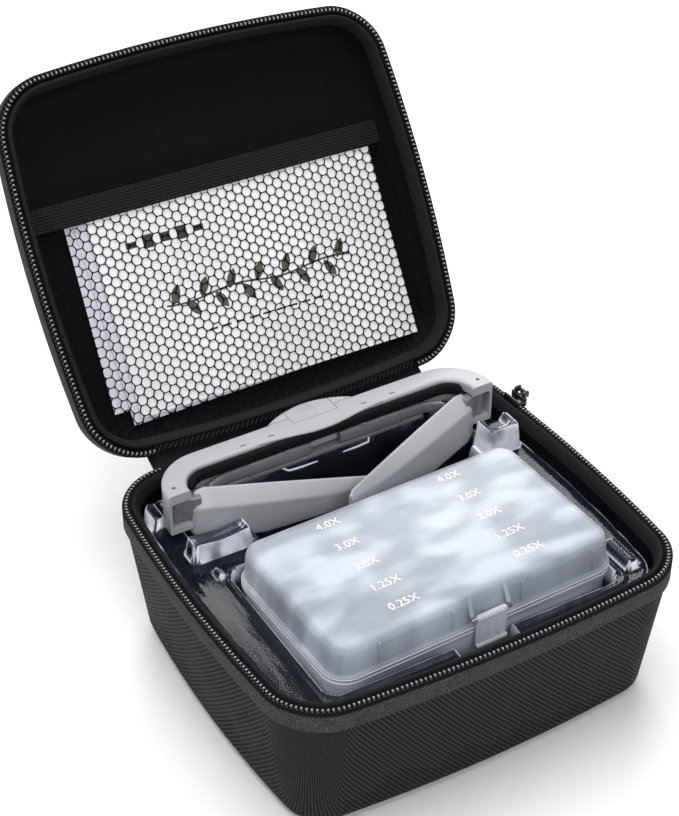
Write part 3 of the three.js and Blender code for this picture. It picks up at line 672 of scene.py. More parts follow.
def beads(spots, along, across, up, size):
    """A small rounded tooth at every spot, of half sizes along, across and up."""
    shape = Shape()
    sides, levels = 8, 5
    ball = [(0, 0, -1)]
    for j in range(1, levels):
        p = math.pi * j / levels
        ball += [(math.sin(p) * math.cos(a), math.sin(p) * math.sin(a), -math.cos(p))
                 for a in around(sides)]
    ball = np.array(ball + [(0, 0, 1)])
    faces = [[0, 1 + (i + 1) % sides, 1 + i] for i in range(sides)]
    for j in range(levels - 2):
        for i in range(sides):
            a, b = 1 + j * sides, 1 + (j + 1) * sides
            k = (i + 1) % sides
            faces.append([a + i, a + k, b + k, b + i])
    top = 1 + (levels - 2) * sides
    faces += [[len(ball) - 1, top + i, top + (i + 1) % sides] for i in range(sides)]
    scaled = ball * np.array(size)
    for s, a, c, w in zip(spots, along, across, up):
        shape.add(s + scaled[:, :1] * a + scaled[:, 1:2] * c + scaled[:, 2:] * w, faces)
    return shape


TOOTH_PITCH = 2.2
# Half sizes along the zip, across it and up.
HEAD_SIZE, LOOP_SIZE = (0.46, 0.74, 0.42), (0.45, 0.42, 0.45)


def tooth_row(inset, z, out, start, size):
    spots, d = even(case_at(inset)[RUN], TOOTH_PITCH, start)
    n = len(spots)
    p = np.column_stack([spots, np.full(n, z)])
    along = np.column_stack([d, np.zeros(n)])
    across = np.column_stack([d[:, 1], -d[:, 0], np.zeros(n)])
    return beads(p, along, across, np.tile((0.0, 0.0, out), (n, 1)), size)


def zip_teeth(side, z, out, body, node, m):
    """The coil's heads, coloured light grey as painted highlights on the black coil, and its loops
    between them a little further out, in the coil's own near-black.
    """
    heads = tooth_row(1.7, z, out, 1.1, HEAD_SIZE)
    loops = tooth_row(0.75, z - 0.45 * out, out, 1.75, LOOP_SIZE)
    make(f"{side}_teeth", heads.place(m), body, TEETH_PAINTED_GLINT, [node], 180)
    make(f"{side}_teeth_back", loops.place(m), body, TEETH_BACK, (), 180)


zip_teeth("base", 76.0, 1, "case_base", "base_zip_coil", WORLD)
zip_teeth("lid", 78.8, -1, "case_lid", "lid_zip_coil", LID)
make("base_coil_cord", rings([(-0.2, 73.9), (-0.2, 75.2), (0.2, 75.6), (2.9, 75.5), (3.6, 74.3),
                              (3.6, 73.9)], closed=True, run=RUN),
     "case_base", LINING, (), 60)
make("lid_coil_cord", rings([(3.6, 81.6), (3.6, 81.0), (2.9, 79.4), (0.2, 79.3), (-0.2, 79.7),
                             (-0.2, 81.6)], closed=True, run=RUN).place(LID),
     "case_lid", LINING, (), 60)


def gusset():
    """The fabric hinge: one sheet folded from the base's back wall up to the lid's."""
    half, thick = 75.5, 0.8
    rows = []
    for x in np.linspace(-half, half, 41):
        inset = WALL + 0.1
        hy = CASE_D / 2 - inset
        y = hy + CASE_BULGE * (1 - (x / (CASE_W / 2 - inset)) ** 2)
        wave = 0.25 * math.sin(x * 0.9) * math.sin(x * 0.13)
        low = [(x, y - 0.6, z) for z in (62, 66, 70, 74)]
        high = [tuple(moved([(x, y - 0.6, z)], LID)[0]) for z in (85.8, 89.8, 93.8)]
        a, b = np.array(low[-1]), np.array(high[0])
        mid = [tuple(a + (b - a) * t + np.array((0, 2.6 + wave, 0.4)) * math.sin(math.pi * t))
               for t in (0.15, 0.35, 0.5, 0.65, 0.85)]
        path = np.array(low + mid + high)
        d = np.gradient(path, axis=0)
        normal = np.stack([np.zeros(len(d)), d[:, 2], -d[:, 1]], 1)
        normal /= np.linalg.norm(normal, axis=1)[:, None]
        rows.append(list(path + normal * thick / 2) + list((path - normal * thick / 2)[::-1]))
    return strip(rows, closed=True)


hinge_cloth = make("hinge_cloth", gusset(), None, BINDING, angle=70)
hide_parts("hinge_gusset")
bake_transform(hinge_cloth)

# ---------------------------------------------------------------- pocket, net and papers
NET_Z = 99.8
NET_PITCH = 5.0
NET_EDGE = -21.4
NET_THREAD = 0.42


def inside(points, inset):
    """Signed distance to the case outline at an inset, negative inside."""
    poly = case_at(inset)
    nxt = np.roll(poly, -1, 0)
    p = np.asarray(points, float)[:, None, :]
    e = nxt - poly
    t = np.clip(((p - poly) * e).sum(2) / (e ** 2).sum(1), 0, 1)
    d = np.linalg.norm(p - poly - t[..., None] * e, axis=2).min(1)
    x, y = p[:, 0, 0][:, None], p[:, 0, 1][:, None]
    with np.errstate(divide="ignore", invalid="ignore"):
        cross = ((poly[:, 1] > y) != (nxt[:, 1] > y)) & (
            x < (nxt[:, 0] - poly[:, 0]) * (y - poly[:, 1]) / (nxt[:, 1] - poly[:, 1]) + poly[:, 0])
    return np.where(cross.sum(1) % 2 == 1, -d, d)


def net():
    """A hexagonal net with rounded holes, cell by cell."""
    shape = Shape()
    radius = NET_PITCH / math.sqrt(3)
    columns = int(100 / (NET_PITCH * 0.866)) + 1
    centres = [(i * NET_PITCH * math.sqrt(3) / 2, NET_EDGE + 1.2 + (j + (i % 2) / 2) * NET_PITCH)
               for i in range(-columns, columns + 1) for j in range(0, 25)]
    centres = np.array(centres)
    centres = centres[inside(centres, 6.6) < 0]
    hexagon = np.array([(radius * math.cos(math.radians(60 * k)),
                         radius * math.sin(math.radians(60 * k))) for k in range(6)])
    outer = np.array([q for k in range(6) for q in (hexagon[k],
                                                    (hexagon[k] + hexagon[(k + 1) % 6]) / 2)])
    angles = np.arctan2(outer[:, 1], outer[:, 0])
    hole = NET_PITCH / 2 - NET_THREAD / 2
    reach = np.where(np.arange(12) % 2 == 0, hole * 1.09, hole)
    inner = np.stack([np.cos(angles) * reach, np.sin(angles) * reach], 1)
    faces = [[k, (k + 1) % 12, 12 + (k + 1) % 12, 12 + k] for k in range(12)]
    for cx, cy in centres:
        sag = 0.35 * math.sin(cx * 0.071) * math.sin((cy + 20) * 0.06)
        ring = np.concatenate([outer, inner]) + (cx, cy)
        shape.add(np.column_stack([ring, np.full(24, NET_Z + sag)]), faces)
    return shape


def net_piece():
    data = mesh_of("pocket_mesh", net().place(LID))
    bm = bmesh.new()
    bm.from_mesh(data)
    bmesh.ops.remove_doubles(bm, verts=bm.verts, dist=1e-4)
    bmesh.ops.solidify(bm, geom=bm.faces[:], thickness=0.3 * MM)
    bmesh.ops.recalc_face_normals(bm, faces=bm.faces[:])
    bm.to_mesh(data)
    bm.free()
    data.materials.append(NET)
    return finish_piece("pocket_mesh", data, "case_lid", ["pocket_net"], 50)


pocket_mesh = net_piece()


def elastic_band():
    """The pocket's elastic edge, from wall to wall, a little scalloped by its stitches."""
    y0, y1, z0, z1 = -33.3, NET_EDGE + 0.2, 98.95, 100.25
    rows = []
    for x in np.linspace(-96.2, 96.2, 121):
        dip = 0.12 * math.sin(x * 2.1)
        low = [(x, y0 + (y1 - y0) * t, z0 - dip * math.sin(math.pi * t) * 0.5)
               for t in np.linspace(0.02, 0.98, 9)]
        high = [(x, y0 + (y1 - y0) * t, z1) for t in (0.98, 0.5, 0.02)]
        rows.append(low + [(x, y1 + dip * 0.5, (z0 + z1) / 2)] + high + [(x, y0, (z0 + z1) / 2)])
    return strip(rows, closed=True)


pocket_band = make("pocket_band", elastic_band().place(LID), "case_lid", ELASTIC,
                   ["pocket_elastic"], 60)


def stitches(y, z, x0, x1, length=2.0, gap=1.0):
    shape = Shape()
    for x in np.arange(x0, x1, length + gap):
        shape.join(tube([(x, y, z), (x + length / 2, y, z - 0.18), (x + length, y, z)], 0.2, 6))
    return shape


STITCH_Z = 98.85
seams = stitches(NET_EDGE - 1.1, STITCH_Z, -90, 90).join(stitches(-31.9, STITCH_Z, -92, 92))
band_stitches = make("band_stitches", seams.place(LID), "case_lid", STITCH, (), 180)


def paper(name, node, x, y, width, height, z, thick, degrees, material, body, curl=0.0):
    """A printed sheet, a little bowed across its width. Returns where it lies."""
    rows = []
    nx, ny = 24, 16
    for i in range(nx + 1):
        s = i / nx * 2 - 1
        low, high = [], []
        for j in range(ny + 1):
            t = j / ny * 2 - 1
            rise = -curl * (1 - s * s) * (1 - t * t)
            low.append((s * width / 2, t * height / 2, z + rise))
            high.append((s * width / 2, t * height / 2, z + thick + rise))
        rows.append(low + high[::-1])
    m = matrix(LID, shift(x, y, 0), turn(degrees, "Z"))
    make(name, strip(rows, closed=True).place(m), body, material, [node], 40)
    return m


CARD_AT = paper("front_card", "greeting_card", 10.8, 27.4, 156, 98, 100.6, 0.5, 0.5, CARD, "card",
                0.15)
paper("front_leaflet", "leaflet_front", 4, 27.6, 152, 99, 102.2, 0.5, -0.8, LEAFLET, "leaflets")
paper("back_leaflet", "leaflet_back", -3, 26, 150, 92, 103.5, 0.5, 1.2, LEAFLET, "leaflets")


def leaf(cx, cy, length, width, degrees, z):
    """A flat pointed leaf."""
    a = math.radians(degrees)
    points = []
    for t in np.linspace(0, 1, 9):
        w = width / 2 * math.sin(math.pi * t) ** 0.8
        points.append((length * (t - 0.5), w))
    points += [(x, -y) for x, y in points[1:-1][::-1]]
    p = [(cx + x * math.cos(a) - y * math.sin(a), cy + x * math.sin(a) + y * math.cos(a), z)
         for x, y in points]
    return Shape().add(p, [list(range(len(p)))])


INK_Z = 100.42


def card_print():
    """A plain sprig of leaves over a row of short rules, and five bars at the top left."""
    olive, dark = Shape(), Shape()
    z = INK_Z
    for k in range(13):
        x = -44 + k * 7.6
        up = 1 if k % 2 else -1
        olive.join(leaf(x, 0.5 + up * 4.2, 10.5, 4.6, 62 * up, z))
    stem = np.linspace(-50, 52, 40)
    low = [(x, 0.5 + 1.2 * math.sin(x * 0.12) - 0.5, z) for x in stem]
    high = [(x, 0.5 + 1.2 * math.sin(x * 0.12) + 0.5, z) for x in stem]
    olive.join(strip([low, high]))
    for k in range(9):
        x = -32 + k * 7.4
        dark.join(strip([[(x, 17, z), (x + 4.6, 17, z)], [(x, 18, z), (x + 4.6, 18, z)]]))
    for k, w in enumerate((3.0, 6.5, 4.5, 6.5, 3.0)):
        x = -62 + k * 9
        dark.join(strip([[(x, -32 - w / 2, z), (x + 5.4, -32 - w / 2, z)],
                         [(x, -32 + w / 2, z), (x + 5.4, -32 + w / 2, z)]]))
    make("card_sprig", olive.place(CARD_AT), "card", INK_OLIVE, (), 180)
    make("card_rules", dark.place(CARD_AT), "card", INK_DARK, (), 180)


card_print()

# ---------------------------------------------------------------- tray
TRAY_TOP, TRAY_INSET, EDGE_DROP, LEFT_BOSS_TOP = 66.0, 8.0, 4.5, 74.0


def box_distance(x, y, rect, r):
    """Signed distance to a rounded rectangle (x0, x1, y0, y1), negative inside."""
    x0, x1, y0, y1 = rect
    qx = np.abs(x - (x0 + x1) / 2) - (x1 - x0) / 2 + r
    qy = np.abs(y - (y0 + y1) / 2) - (y1 - y0) / 2 + r
    outside = np.hypot(np.maximum(qx, 0), np.maximum(qy, 0))
    return outside + np.minimum(np.maximum(qx, qy), 0) - r


def soft(t):
    t = np.clip(t, 0, 1)
    return t * t * (3 - 2 * t)


def tray_height(x, y, edge):
    """Height of the formed sheet. edge is the distance inside the tray's own outline."""
    h = np.full(x.shape, TRAY_TOP)
    h = h - EDGE_DROP * soft(1 - edge / 2.6) ** 1.5
    bosses = [((-86, -54, 30, 42.5), LEFT_BOSS_TOP, 4), ((72.5, 93, 29.5, 46), 79.0, 4),
              ((-91, -83, 60, 76), 71.5, 3.5), ((79.5, 87.5, -72, -50), 70.0, 3),
              ((-81.5, -77, 14, 23), 69.0, 2)]
    for rect, top, r in bosses:
        rise = soft(-box_distance(x, y, rect, r) / 1.9)
        crest = top + 0.7 * np.sin(x * 0.21 + 0.6) * (top == LEFT_BOSS_TOP)
        h = h + (crest - h) * rise
    h = h - 4.0 * soft(-box_distance(x, y, (76.5, 89.5, 34, 60), 4) / 2.2) * (h > 70)
    h = h - 1.6 * soft(-box_distance(x, y, (-83, -57, 33.5, 39.5), 2) / 1.8) * (h > 70)
    h = h + 0.6 * soft(1 - np.abs(box_distance(x, y, (-77.5, 76.5, -76, 19), 6)) / 1.6)
    cuts = [((-79, 79, 43, 84), 41.0, 8), ((-51, 71, 8, 47), 41.0, 5),
            ((-75.5, 74.5, -74, 19), 49.3, 7), ((-15, 15, -85, -70), 56.0, 3)]
    for rect, floor, r in cuts:
        drop = soft(-box_distance(x, y, rect, r) / 1.8)
        h = np.minimum(h, h + (floor - h) * drop)
    return h


def tray_sheet():
    """The vacuum-formed sheet: its top as a height field, and the skirt below its edge."""
    step, inset = 1.15, TRAY_INSET
    xs, ys = np.arange(-100, 100.1, step), np.arange(-90, 90.1, step)
    gx, gy = np.meshgrid(xs, ys, indexing="ij")
    flat = np.stack([gx.ravel(), gy.ravel()], 1)
    d = inside(flat, inset).reshape(gx.shape)
    keep = d < 0
    cells = keep[:-1, :-1] | keep[1:, :-1] | keep[:-1, 1:] | keep[1:, 1:]
    poly = case_at(inset)
    nxt = np.roll(poly, -1, 0)
    e = nxt - poly
    outside = np.argwhere(~keep.ravel()).ravel()
    p = flat[outside][:, None, :]
    t = np.clip(((p - poly) * e).sum(2) / (e ** 2).sum(1), 0, 1)
    near = poly + t[..., None] * e
    best = np.linalg.norm(p - near, axis=2).argmin(1)
    flat[outside] = near[np.arange(len(outside)), best]
    d = np.minimum(d, 0).ravel()
    h = tray_height(flat[:, 0], flat[:, 1], -d)
    ny = len(ys)
    used = np.full(len(flat), -1)
    points, faces = [], []
    for i, j in np.argwhere(cells):
        quad = [i * ny + j, (i + 1) * ny + j, (i + 1) * ny + j + 1, i * ny + j + 1]
        for q in quad:
            if used[q] < 0:
                used[q] = len(points)
                points.append((flat[q, 0], flat[q, 1], h[q]))
        faces.append([int(used[q]) for q in quad])
    shape = Shape().add(points, faces)
    n = len(poly)
    profile = [(inset, TRAY_TOP - EDGE_DROP), (inset + 0.1, 58), (10.4, 34), (12.9, 9.6), (14.6, 6.5)]
    skirt = []
    for s, z in profile:
        skirt += [(x, y, z) for x, y in case_at(s)]
    sides = [[j * n + i, j * n + (i + 1) % n, (j + 1) * n + (i + 1) % n, (j + 1) * n + i]
             for j in range(len(profile) - 1) for i in range(n)]
    return shape.add(skirt, [f[::-1] for f in sides])


def bends(points):
    """How sharply the sheet bends at each point, from 0 to 1, faded out on deep walls: the mask for
    the tray's painted highlights.
    """
    x, y = points[:, 0], points[:, 1]
    reach = 0.9

    def h(dx, dy):
        at = np.stack([x + dx, y + dy], 1)
        return tray_height(at[:, 0], at[:, 1], -np.minimum(inside(at, TRAY_INSET), 0))

    middle = h(0, 0)
    curve = np.abs(h(reach, 0) + h(-reach, 0) - 2 * middle) + np.abs(
        h(0, reach) + h(0, -reach) - 2 * middle)
    in_light = soft((middle - 50) / 14)      # no painted highlight on deep walls, which stay dark as if in shade
    return np.clip(curve / reach ** 2 / 1.6 - 0.12, 0, 1) * in_light


def tray_piece():
    shape = tray_sheet()
    top = len(shape.points[0])
    item = make("tray_sheet", shape, "tray_insert", TRAY,
                ["tray_rim", "tray_headset_pocket", "tray_box_pocket", "tray_left_boss",
                 "tray_right_boss"], 60)
    # The painted highlight mask, kept on the sheet's top points for the tray's material.
    values = np.zeros(shape.count)
    values[:top] = bends(shape.points[0])
    layer = item.data.attributes.new("painted_bend_highlight", "FLOAT", "POINT")
    layer.data.foreach_set("value", values)


tray_piece()

# ---------------------------------------------------------------- headset
BEND_X, BEND_Y, R_OUT, R_IN = 64.5, -3.8, 24.0, 12.5
BAND_TOP, BAND_LOW, END_LOW, LEG_END = 91.0, 78.0, 69.0, -5.4
PIN_X, PIN_Z, TILT = 83.2, 79, 3.4
SLOT_X = (73.9, 87.1)       # the clevis slot that the temple's knuckle turns in


def band_stations():
    """(outer point, inner point, low edge) round the band from its right end to its left."""
    out = []
    for y in (LEG_END, -4.6):
        out.append(((BEND_X + R_OUT, y), (BEND_X + R_IN, y), END_LOW))
    for i in range(19):
        a = math.pi / 2 * i / 18
        low = END_LOW + (BAND_LOW - END_LOW) * float(soft(np.array(i / 18 * 1.5 - 0.15)))
        out.append(((BEND_X + R_OUT * math.cos(a), BEND_Y + R_OUT * math.sin(a)),
                    (BEND_X + R_IN * math.cos(a), BEND_Y + R_IN * math.sin(a)), low))
    middle = [((x, BEND_Y + R_OUT), (x, BEND_Y + R_IN), BAND_LOW)
              for x in np.linspace(BEND_X, -BEND_X, 33)[1:-1]]
    left = [((-o[0], o[1]), (-i[0], i[1]), low) for o, i, low in out[::-1]]
    return out + middle + left


def band_section(outer, inner, low, high, top_r, low_r, steps=4):
    """A rounded section across the band, as points in space."""
    o, i = np.array(outer), np.array(inner)
    across = o - i
    width = np.linalg.norm(across)
    across = across / width
    points = []
    corners = [(width, high, top_r, 0), (0, high, top_r, 90), (0, low, low_r, 180),
               (width, low, low_r, 270)]
    for d, z, r, start in corners:
        sx = -1 if d > 0 else 1
        sz = -1 if z == high else 1
        for k in range(steps + 1):
            a = math.radians(start + 90 * k / steps)
            at = d + sx * r + r * math.cos(a)
            points.append((*(i + across * at), z + sz * r + r * math.sin(a)))
    return points


def cut_out(item, cutters):
    """Cuts closed meshes out of a piece and keeps the result as its mesh."""
    for cutter in cutters:
        mod = item.modifiers.new("cut", "BOOLEAN")
        mod.operation, mod.solver, mod.object = "DIFFERENCE", "EXACT", cutter
    bpy.context.view_layer.update()
    graph = bpy.context.evaluated_depsgraph_get()
    data = bpy.data.meshes.new_from_object(item.evaluated_get(graph))
    if not data.polygons:
        raise RuntimeError(f"{item.name}: the cut left nothing")
    item.modifiers.clear()
    old, item.data = item.data, data
    bpy.data.meshes.remove(old)
    for cutter in cutters:
        bpy.data.objects.remove(cutter)


def cutter(shape):
    return put("cutter", mesh_of("cutter", shape))


rows = [band_section(o, i, low, BAND_TOP, 1.5, 1.0) for o, i, low in band_stations()]
band = make("band_shell", strip(rows, closed=True).place(HEADSET), None, GREY,
            ["headset_band"], 40)


def bulge(x):
    """The front edge of the light's housing, over the band's middle."""
    return 20.2 + 7.2 * math.cos(math.pi / 2 * min(abs(x) / 23, 1)) ** 0.8


PLATE_LEFT, PLATE_RIGHT, PLATE_BACK = -12.0, 12.2, 15.0
plate_plan = [(PLATE_LEFT, PLATE_BACK), (PLATE_RIGHT, PLATE_BACK)] + [
    (x, bulge(x) - 0.9) for x in np.linspace(PLATE_RIGHT, PLATE_LEFT, 15)]


def plate_recess():
    return cutter(puck(plate_plan, [(-0.35, 88.8), (-0.35, 99)]).place(HEADSET))


cuts = [plate_recess()]
for side in (-1, 1):
    slot_box = brick(*sorted(side * x for x in SLOT_X), -20, 6, 72, 86, 0.8, 1.5)
    cuts.append(cutter(slot_box.place(HEADSET)))
    cuts.append(cutter(drum(1.05, 84, 95, side * PIN_X, 0, 20).place(HEADSET)))
cut_out(band, cuts)
smooth(band.data, 40)
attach(band, "headset")

# The band's four small slots with tabs are not cut: each is a thin near-black patch on the top,
# painted shade for the recess.
slot_shades = Shape()
for x in (-41, -26, 25, 41):
    slot_shades.join(brick(x - 1.4, x + 1.4, 11.7, 12.3, 90.9, 91.05, 0.05, 0.2))
    slot_shades.join(brick(x + 0.9, x + 1.4, 11.2, 12.3, 90.9, 91.05, 0.05, 0.2))
make("band_slot_shades", slot_shades.place(HEADSET), "headset", PAINTED_SLOT_SHADE)

housing_plan = [(x, 20.0) for x in np.linspace(-23, 23, 15)]
housing_plan += [(x, bulge(x)) for x in np.linspace(21.5, -21.5, 31)]
housing = make("light_shell", puck(housing_plan, [
    (1.2, 76.8), (0.4, 77.1), (0, 78), (0, 89.9), (0.2, 90.6), (0.8, 91)
    ]).place(HEADSET), None, GREY, ["light_housing"], 40)
cut_out(housing, [
    plate_recess(),
    cutter(brick(-20, 20, 21.5, 25.2, 70, 87, 0.3, 1.5).place(HEADSET))])
smooth(housing.data, 40)
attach(housing, "headset")

LIP_HALF = 34.0
lip_plan = [(x, 8.8 - 3.9 * (0.5 + 0.5 * math.cos(math.pi * x / LIP_HALF)))
            for x in np.linspace(-LIP_HALF, LIP_HALF, 31)] + [(LIP_HALF, 10), (-LIP_HALF, 10)]
make("band_lip", puck(lip_plan, [(0.4, 89.6), (0, 90), (0, 90.6), (0.4, 90.98)]).place(HEADSET),
     "headset", GREY, (), 40)

button = puck(plate_plan, [(0.1, 89.75), (0, 89.9), (0, 90.85), (0.15, 91.02)])
for k in range(-3, 4):
    reach = 5.0 * math.sqrt(1 - (k / 3.9) ** 2)
    button.join(tube([(x - 1.1, 23.2 + k * 0.8 + 0.25 * math.cos(x / 4) - 0.3, 90.98)
                      for x in np.linspace(-reach, reach, 9)], 0.24, 6))
make("button_cap", button.place(HEADSET), "button", GREY, ["light_button"], 40)


def brow_foam():
    """The foam strip along the inside of the band, tapering at its ends."""
    rows = []
    angles = np.linspace(0.32, math.pi / 2, 14)
    centre = (R_IN - 0.35 + 8.6) / 2
    path = [(BEND_X + centre * math.cos(a), BEND_Y + centre * math.sin(a), math.cos(a),
             math.sin(a)) for a in angles]
    path += [(x, BEND_Y + centre, 0.0, 1.0) for x in np.linspace(BEND_X, -BEND_X, 37)[1:-1]]
    path += [(-x, y, -nx, ny) for x, y, nx, ny in path[:14][::-1]]
    for k, (x, y, nx, ny) in enumerate(path):
        edge = min(k, len(path) - 1 - k)
        size = min(1.0, 0.25 + 0.28 * edge)
        swell = 1 + 0.25 * math.exp(-(x / 16) ** 2) + 0.03 * math.sin(x * 0.8)
        half_w, half_h = 1.75 * size * swell, 2.9 * size
        row = []
        for a in around(16):
            c, s = math.cos(a), math.sin(a)
            w = half_w * squared(c, 0.7)
            h = half_h * squared(s, 0.7)
            w = min(w, 1.75)
            row.append((x + nx * w, y + ny * w, 87.4 + h))
        rows.append(row)
    return strip(rows, closed=True)


brow = make("brow_foam", brow_foam().place(HEADSET), "headset", FOAM, ["brow_pad"], 60)


def rail(side):
    """One tubular rail under the foam, with its joint, nub and end cap."""
    xs = np.linspace(64, 8, 20)
    path = [(side * x, 6.3 - 3.6 * max(0, (x - 52) / 12) ** 2, 80.9 - 0.6 * max(0, (x - 52) / 12))
            for x in xs]
    rows = []
    for k, (x, y, z) in enumerate(path):
        grown = 0.86 if abs(x) > 41 else 1.0
        w, h = 1.75 * grown, 3.5 * grown
        if k == len(path) - 1:
            w, h = w * 0.8, h * 0.85
        row = [(x, y + w * squared(math.cos(a), 0.6),
                z + h * squared(math.sin(a), 0.6))
               for a in around(16)]
        rows.append(row if side < 0 else row[::-1])
    shape = strip(rows, closed=True)
    shape.join(brick(*sorted((side * 41.4, side * 40.2)), 4.3, 8.3, 77.2, 84.6, 0.4, 0.4))
    shape.join(drum(1.3, 83.6, 85.0, side * 21, 5.6, 14, 0.3))
    return shape


carrier = rail(-1).join(rail(1))
carrier.join(brick(-56, 56, 4.8, 15.8, 75.2, 77.5, 0.4, 2))
carrier.join(brick(-50, 50, 9.8, 11.6, 71.5, 75.6, 0.3, 0.5))
make("carrier_rails", carrier.place(HEADSET), "headset", MID_GREY,
     ["lens_carrier"], 50)

refine("fitted_lens", "front_lens", "lens", LENS, 0.35)


def lens_edge_glints():
    """The clear upper edge of the lens where it steps round the nose, left and right, as pale, mostly
    opaque bars: painted highlights along the clear edges.
    """
    shape = Shape()
    for side in (-1, 1):
        path = [(side * 42, 10.4, 76.2), (side * 34, 9.9, 76.2), (side * 27.5, 9.3, 76.2),
                (side * 24.5, 6.2, 75.4), (side * 22, 2.4, 75), (side * 15, 1.6, 75.2),
                (side * 7, 1.2, 75.6)]
        shape.join(tube(path, 0.55, 8))
        shape.join(tube([(p[0], p[1] + 1.7, p[2] + 1.1) for p in path[:3]], 0.4, 8))
    shape.join(tube([(56, 12.6, 77), (60, 11.6, 77), (66, 8.6, 76.6)], 0.7, 8))
    return shape


make("lens_edge_glints", lens_edge_glints().place(HEADSET), "headset",
     glass_look("clear_edge_glint", (0.75, 0.8, 0.86), 0.55), (), 60)

refine("led_board", "lamp_board", "headset", BOARD, 0.1)
refine("battery_cell", "coin_cell", "headset", CELL, 0.6)
for side in ("left", "right"):
    refine(f"led_{side}", f"lamp_{side}", "headset", LED_LOOK, 0.15)
    refine(f"hinge_pin_{side}", f"hinge_rod_{side}", "headset", STEEL, 0.15)

# ---------------------------------------------------------------- temples
TEMPLE_L, TEMPLE_TOP, TEMPLE_DROP = 102.0, 9.0, 5.2


def temple_section(s, outer, inner, top, low, r=1.1):
    """A section across the arm: a slanted facet along its top, rounded at every corner."""
    facet = min(7.0, (top - low) * 0.35)
    corners = [(inner, low), (outer - 1.2, low), (outer, low + 1.4), (outer, top - facet),
               (inner + 1.4, top), (inner, top - 1)]
    out = []
    n = len(corners)
    for k in range(n):
        p = np.array(corners[k])
        a, b = np.array(corners[k - 1]) - p, np.array(corners[(k + 1) % n]) - p
        ra, rb = min(r, np.linalg.norm(a) * 0.45), min(r, np.linalg.norm(b) * 0.45)
        q0, q1 = p + a / np.linalg.norm(a) * ra, p + b / np.linalg.norm(b) * rb
        for t in (0.0, 0.33, 0.67, 1.0):
            out.append(tuple((1 - t) ** 2 * q0 + 2 * t * (1 - t) * p + t * t * q1))
    return [(x, -s, z) for x, z in out]


def temple_arm():
    """The arm as worn: hinge at the origin, running back along -Y, outer face on +X."""
    keys = [(9.4, 4, -3.8, TEMPLE_TOP - 1, -14), (14, 4.5, -4.2, TEMPLE_TOP, -17),
            (45, 4, -3.6, TEMPLE_TOP, -17), (80, 2.4, -2.4, TEMPLE_TOP, -9),
            (TEMPLE_L - 3, 1.6, -1.6, TEMPLE_TOP, -2.6), (TEMPLE_L, 1.2, -1.2, TEMPLE_TOP - 2, 0)]
    along = [8.0, 8.5, 9.4, 10.6, 12, 14, 18, 24, 32, 40, 45, 52, 60, 70, 80, 88, 94, 97, 99,
             100.4, 101.4, 102]
    table = np.array(keys)
    rows = []
    for s in along:
        v = [float(np.interp(s, table[:, 0], table[:, i])) for i in range(1, 5)]
        if s < 9.4:
            shrink = (9.4 - s) / 1.4
            v = [v[0] - 1.2 * shrink, v[1] + 1.2 * shrink, v[2] - 1.6 * shrink, v[3] + 1.6 * shrink]
        rows.append(temple_section(s, *v))
    return strip([r[::-1] for r in rows], closed=True)


def temple(name, side, fold, node, body):
    arm = temple_arm().place(matrix(turn(TEMPLE_DROP, "X")))
    knuckle = drum(3.5, -6.3, 6.3, 0, 0, 28, 0.5)
    knuckle.join(brick(-2.4, 2.4, -12, -2, -6.3, 5.7, 0.5, 0.8))
    axis = Vector((math.sin(math.radians(TILT)), 0, math.cos(math.radians(TILT))))
    m = matrix(HEADSET, shift(side * PIN_X, 0, PIN_Z), turn(-side * fold, axis))
    for shape in (arm, knuckle):
        if side < 0:
            shape.place(np.diag([-1.0, 1, 1, 1]))
            shape.faces = [f[::-1] for f in shape.faces]
        shape.place(m)
    make(name, arm, body, TEMPLE_FACE, [node], 40)
    make(f"{name}_knuckle", knuckle, body, MID_GREY, (), 40)


temple("left_arm", -1, 78, "temple_left", "left_temple")
temple("right_arm", 1, 69, "temple_right", "right_temple")

# ---------------------------------------------------------------- lens box
BOX_W, BOX_D, BOX_R = 146.0, 84.0, 10.0
HINGE_AT, LATCH_AT, LATCH_X = BOX_D / 2 + 3.5, -BOX_D / 2 - 3, 3.0
HINGE_PIN_Z, LATCH_PIN_Z, MARKS_Z = 70.3, 77.5, 88.02


def box_at(inset):
    return outline(BOX_W - 2 * inset, BOX_D - 2 * inset, max(BOX_R - inset, 1.5), 0, 10, 12)


def barrel(spots, y, z, radius):
    """A round bar along X through four spots, its ends drawn in."""
    return tube([(x, y, z) for x in spots], radius, 14)


def hinge_knuckle(x0, z0, z1):
    shape = barrel((x0, x0 + 1, x0 + 5, x0 + 6), HINGE_AT, HINGE_PIN_Z, 1.9)
    return shape.join(brick(x0, x0 + 6, BOX_D / 2 - 0.4, HINGE_AT - 0.1, z0, z1, 0.3))


def rim_glint_bead(z, r=0.28):
    """A thin bead round the rim, coloured near white: a painted highlight along the rim's edge."""
    c = -1.2
    return rings([(c - r * 0.6, z), (c, z + r), (c + r, z), (c, z - r)], box_at, closed=True)


box_base = rings([(3, 50), (1.7, 50.3), (0.8, 51.2), (0.4, 66.4), (-0.3, 66.8), (-1.1, 67.1),
                  (-1.2, 67.5), (-1.2, 69.9), (-0.9, 70.15), (1.9, 70.15), (2.4, 52)], box_at)
for x0 in (-46, 40):
    box_base.join(hinge_knuckle(x0, 68.2, 69.9))
make("box_tub", box_base.place(BOX), "lens_box", FROSTED_BASE, ["lens_box_base"], 40)
make("tub_rim_line", rim_glint_bead(69.6).place(BOX), "lens_box", MARKS_AND_RIM_GLINT, (), 60)

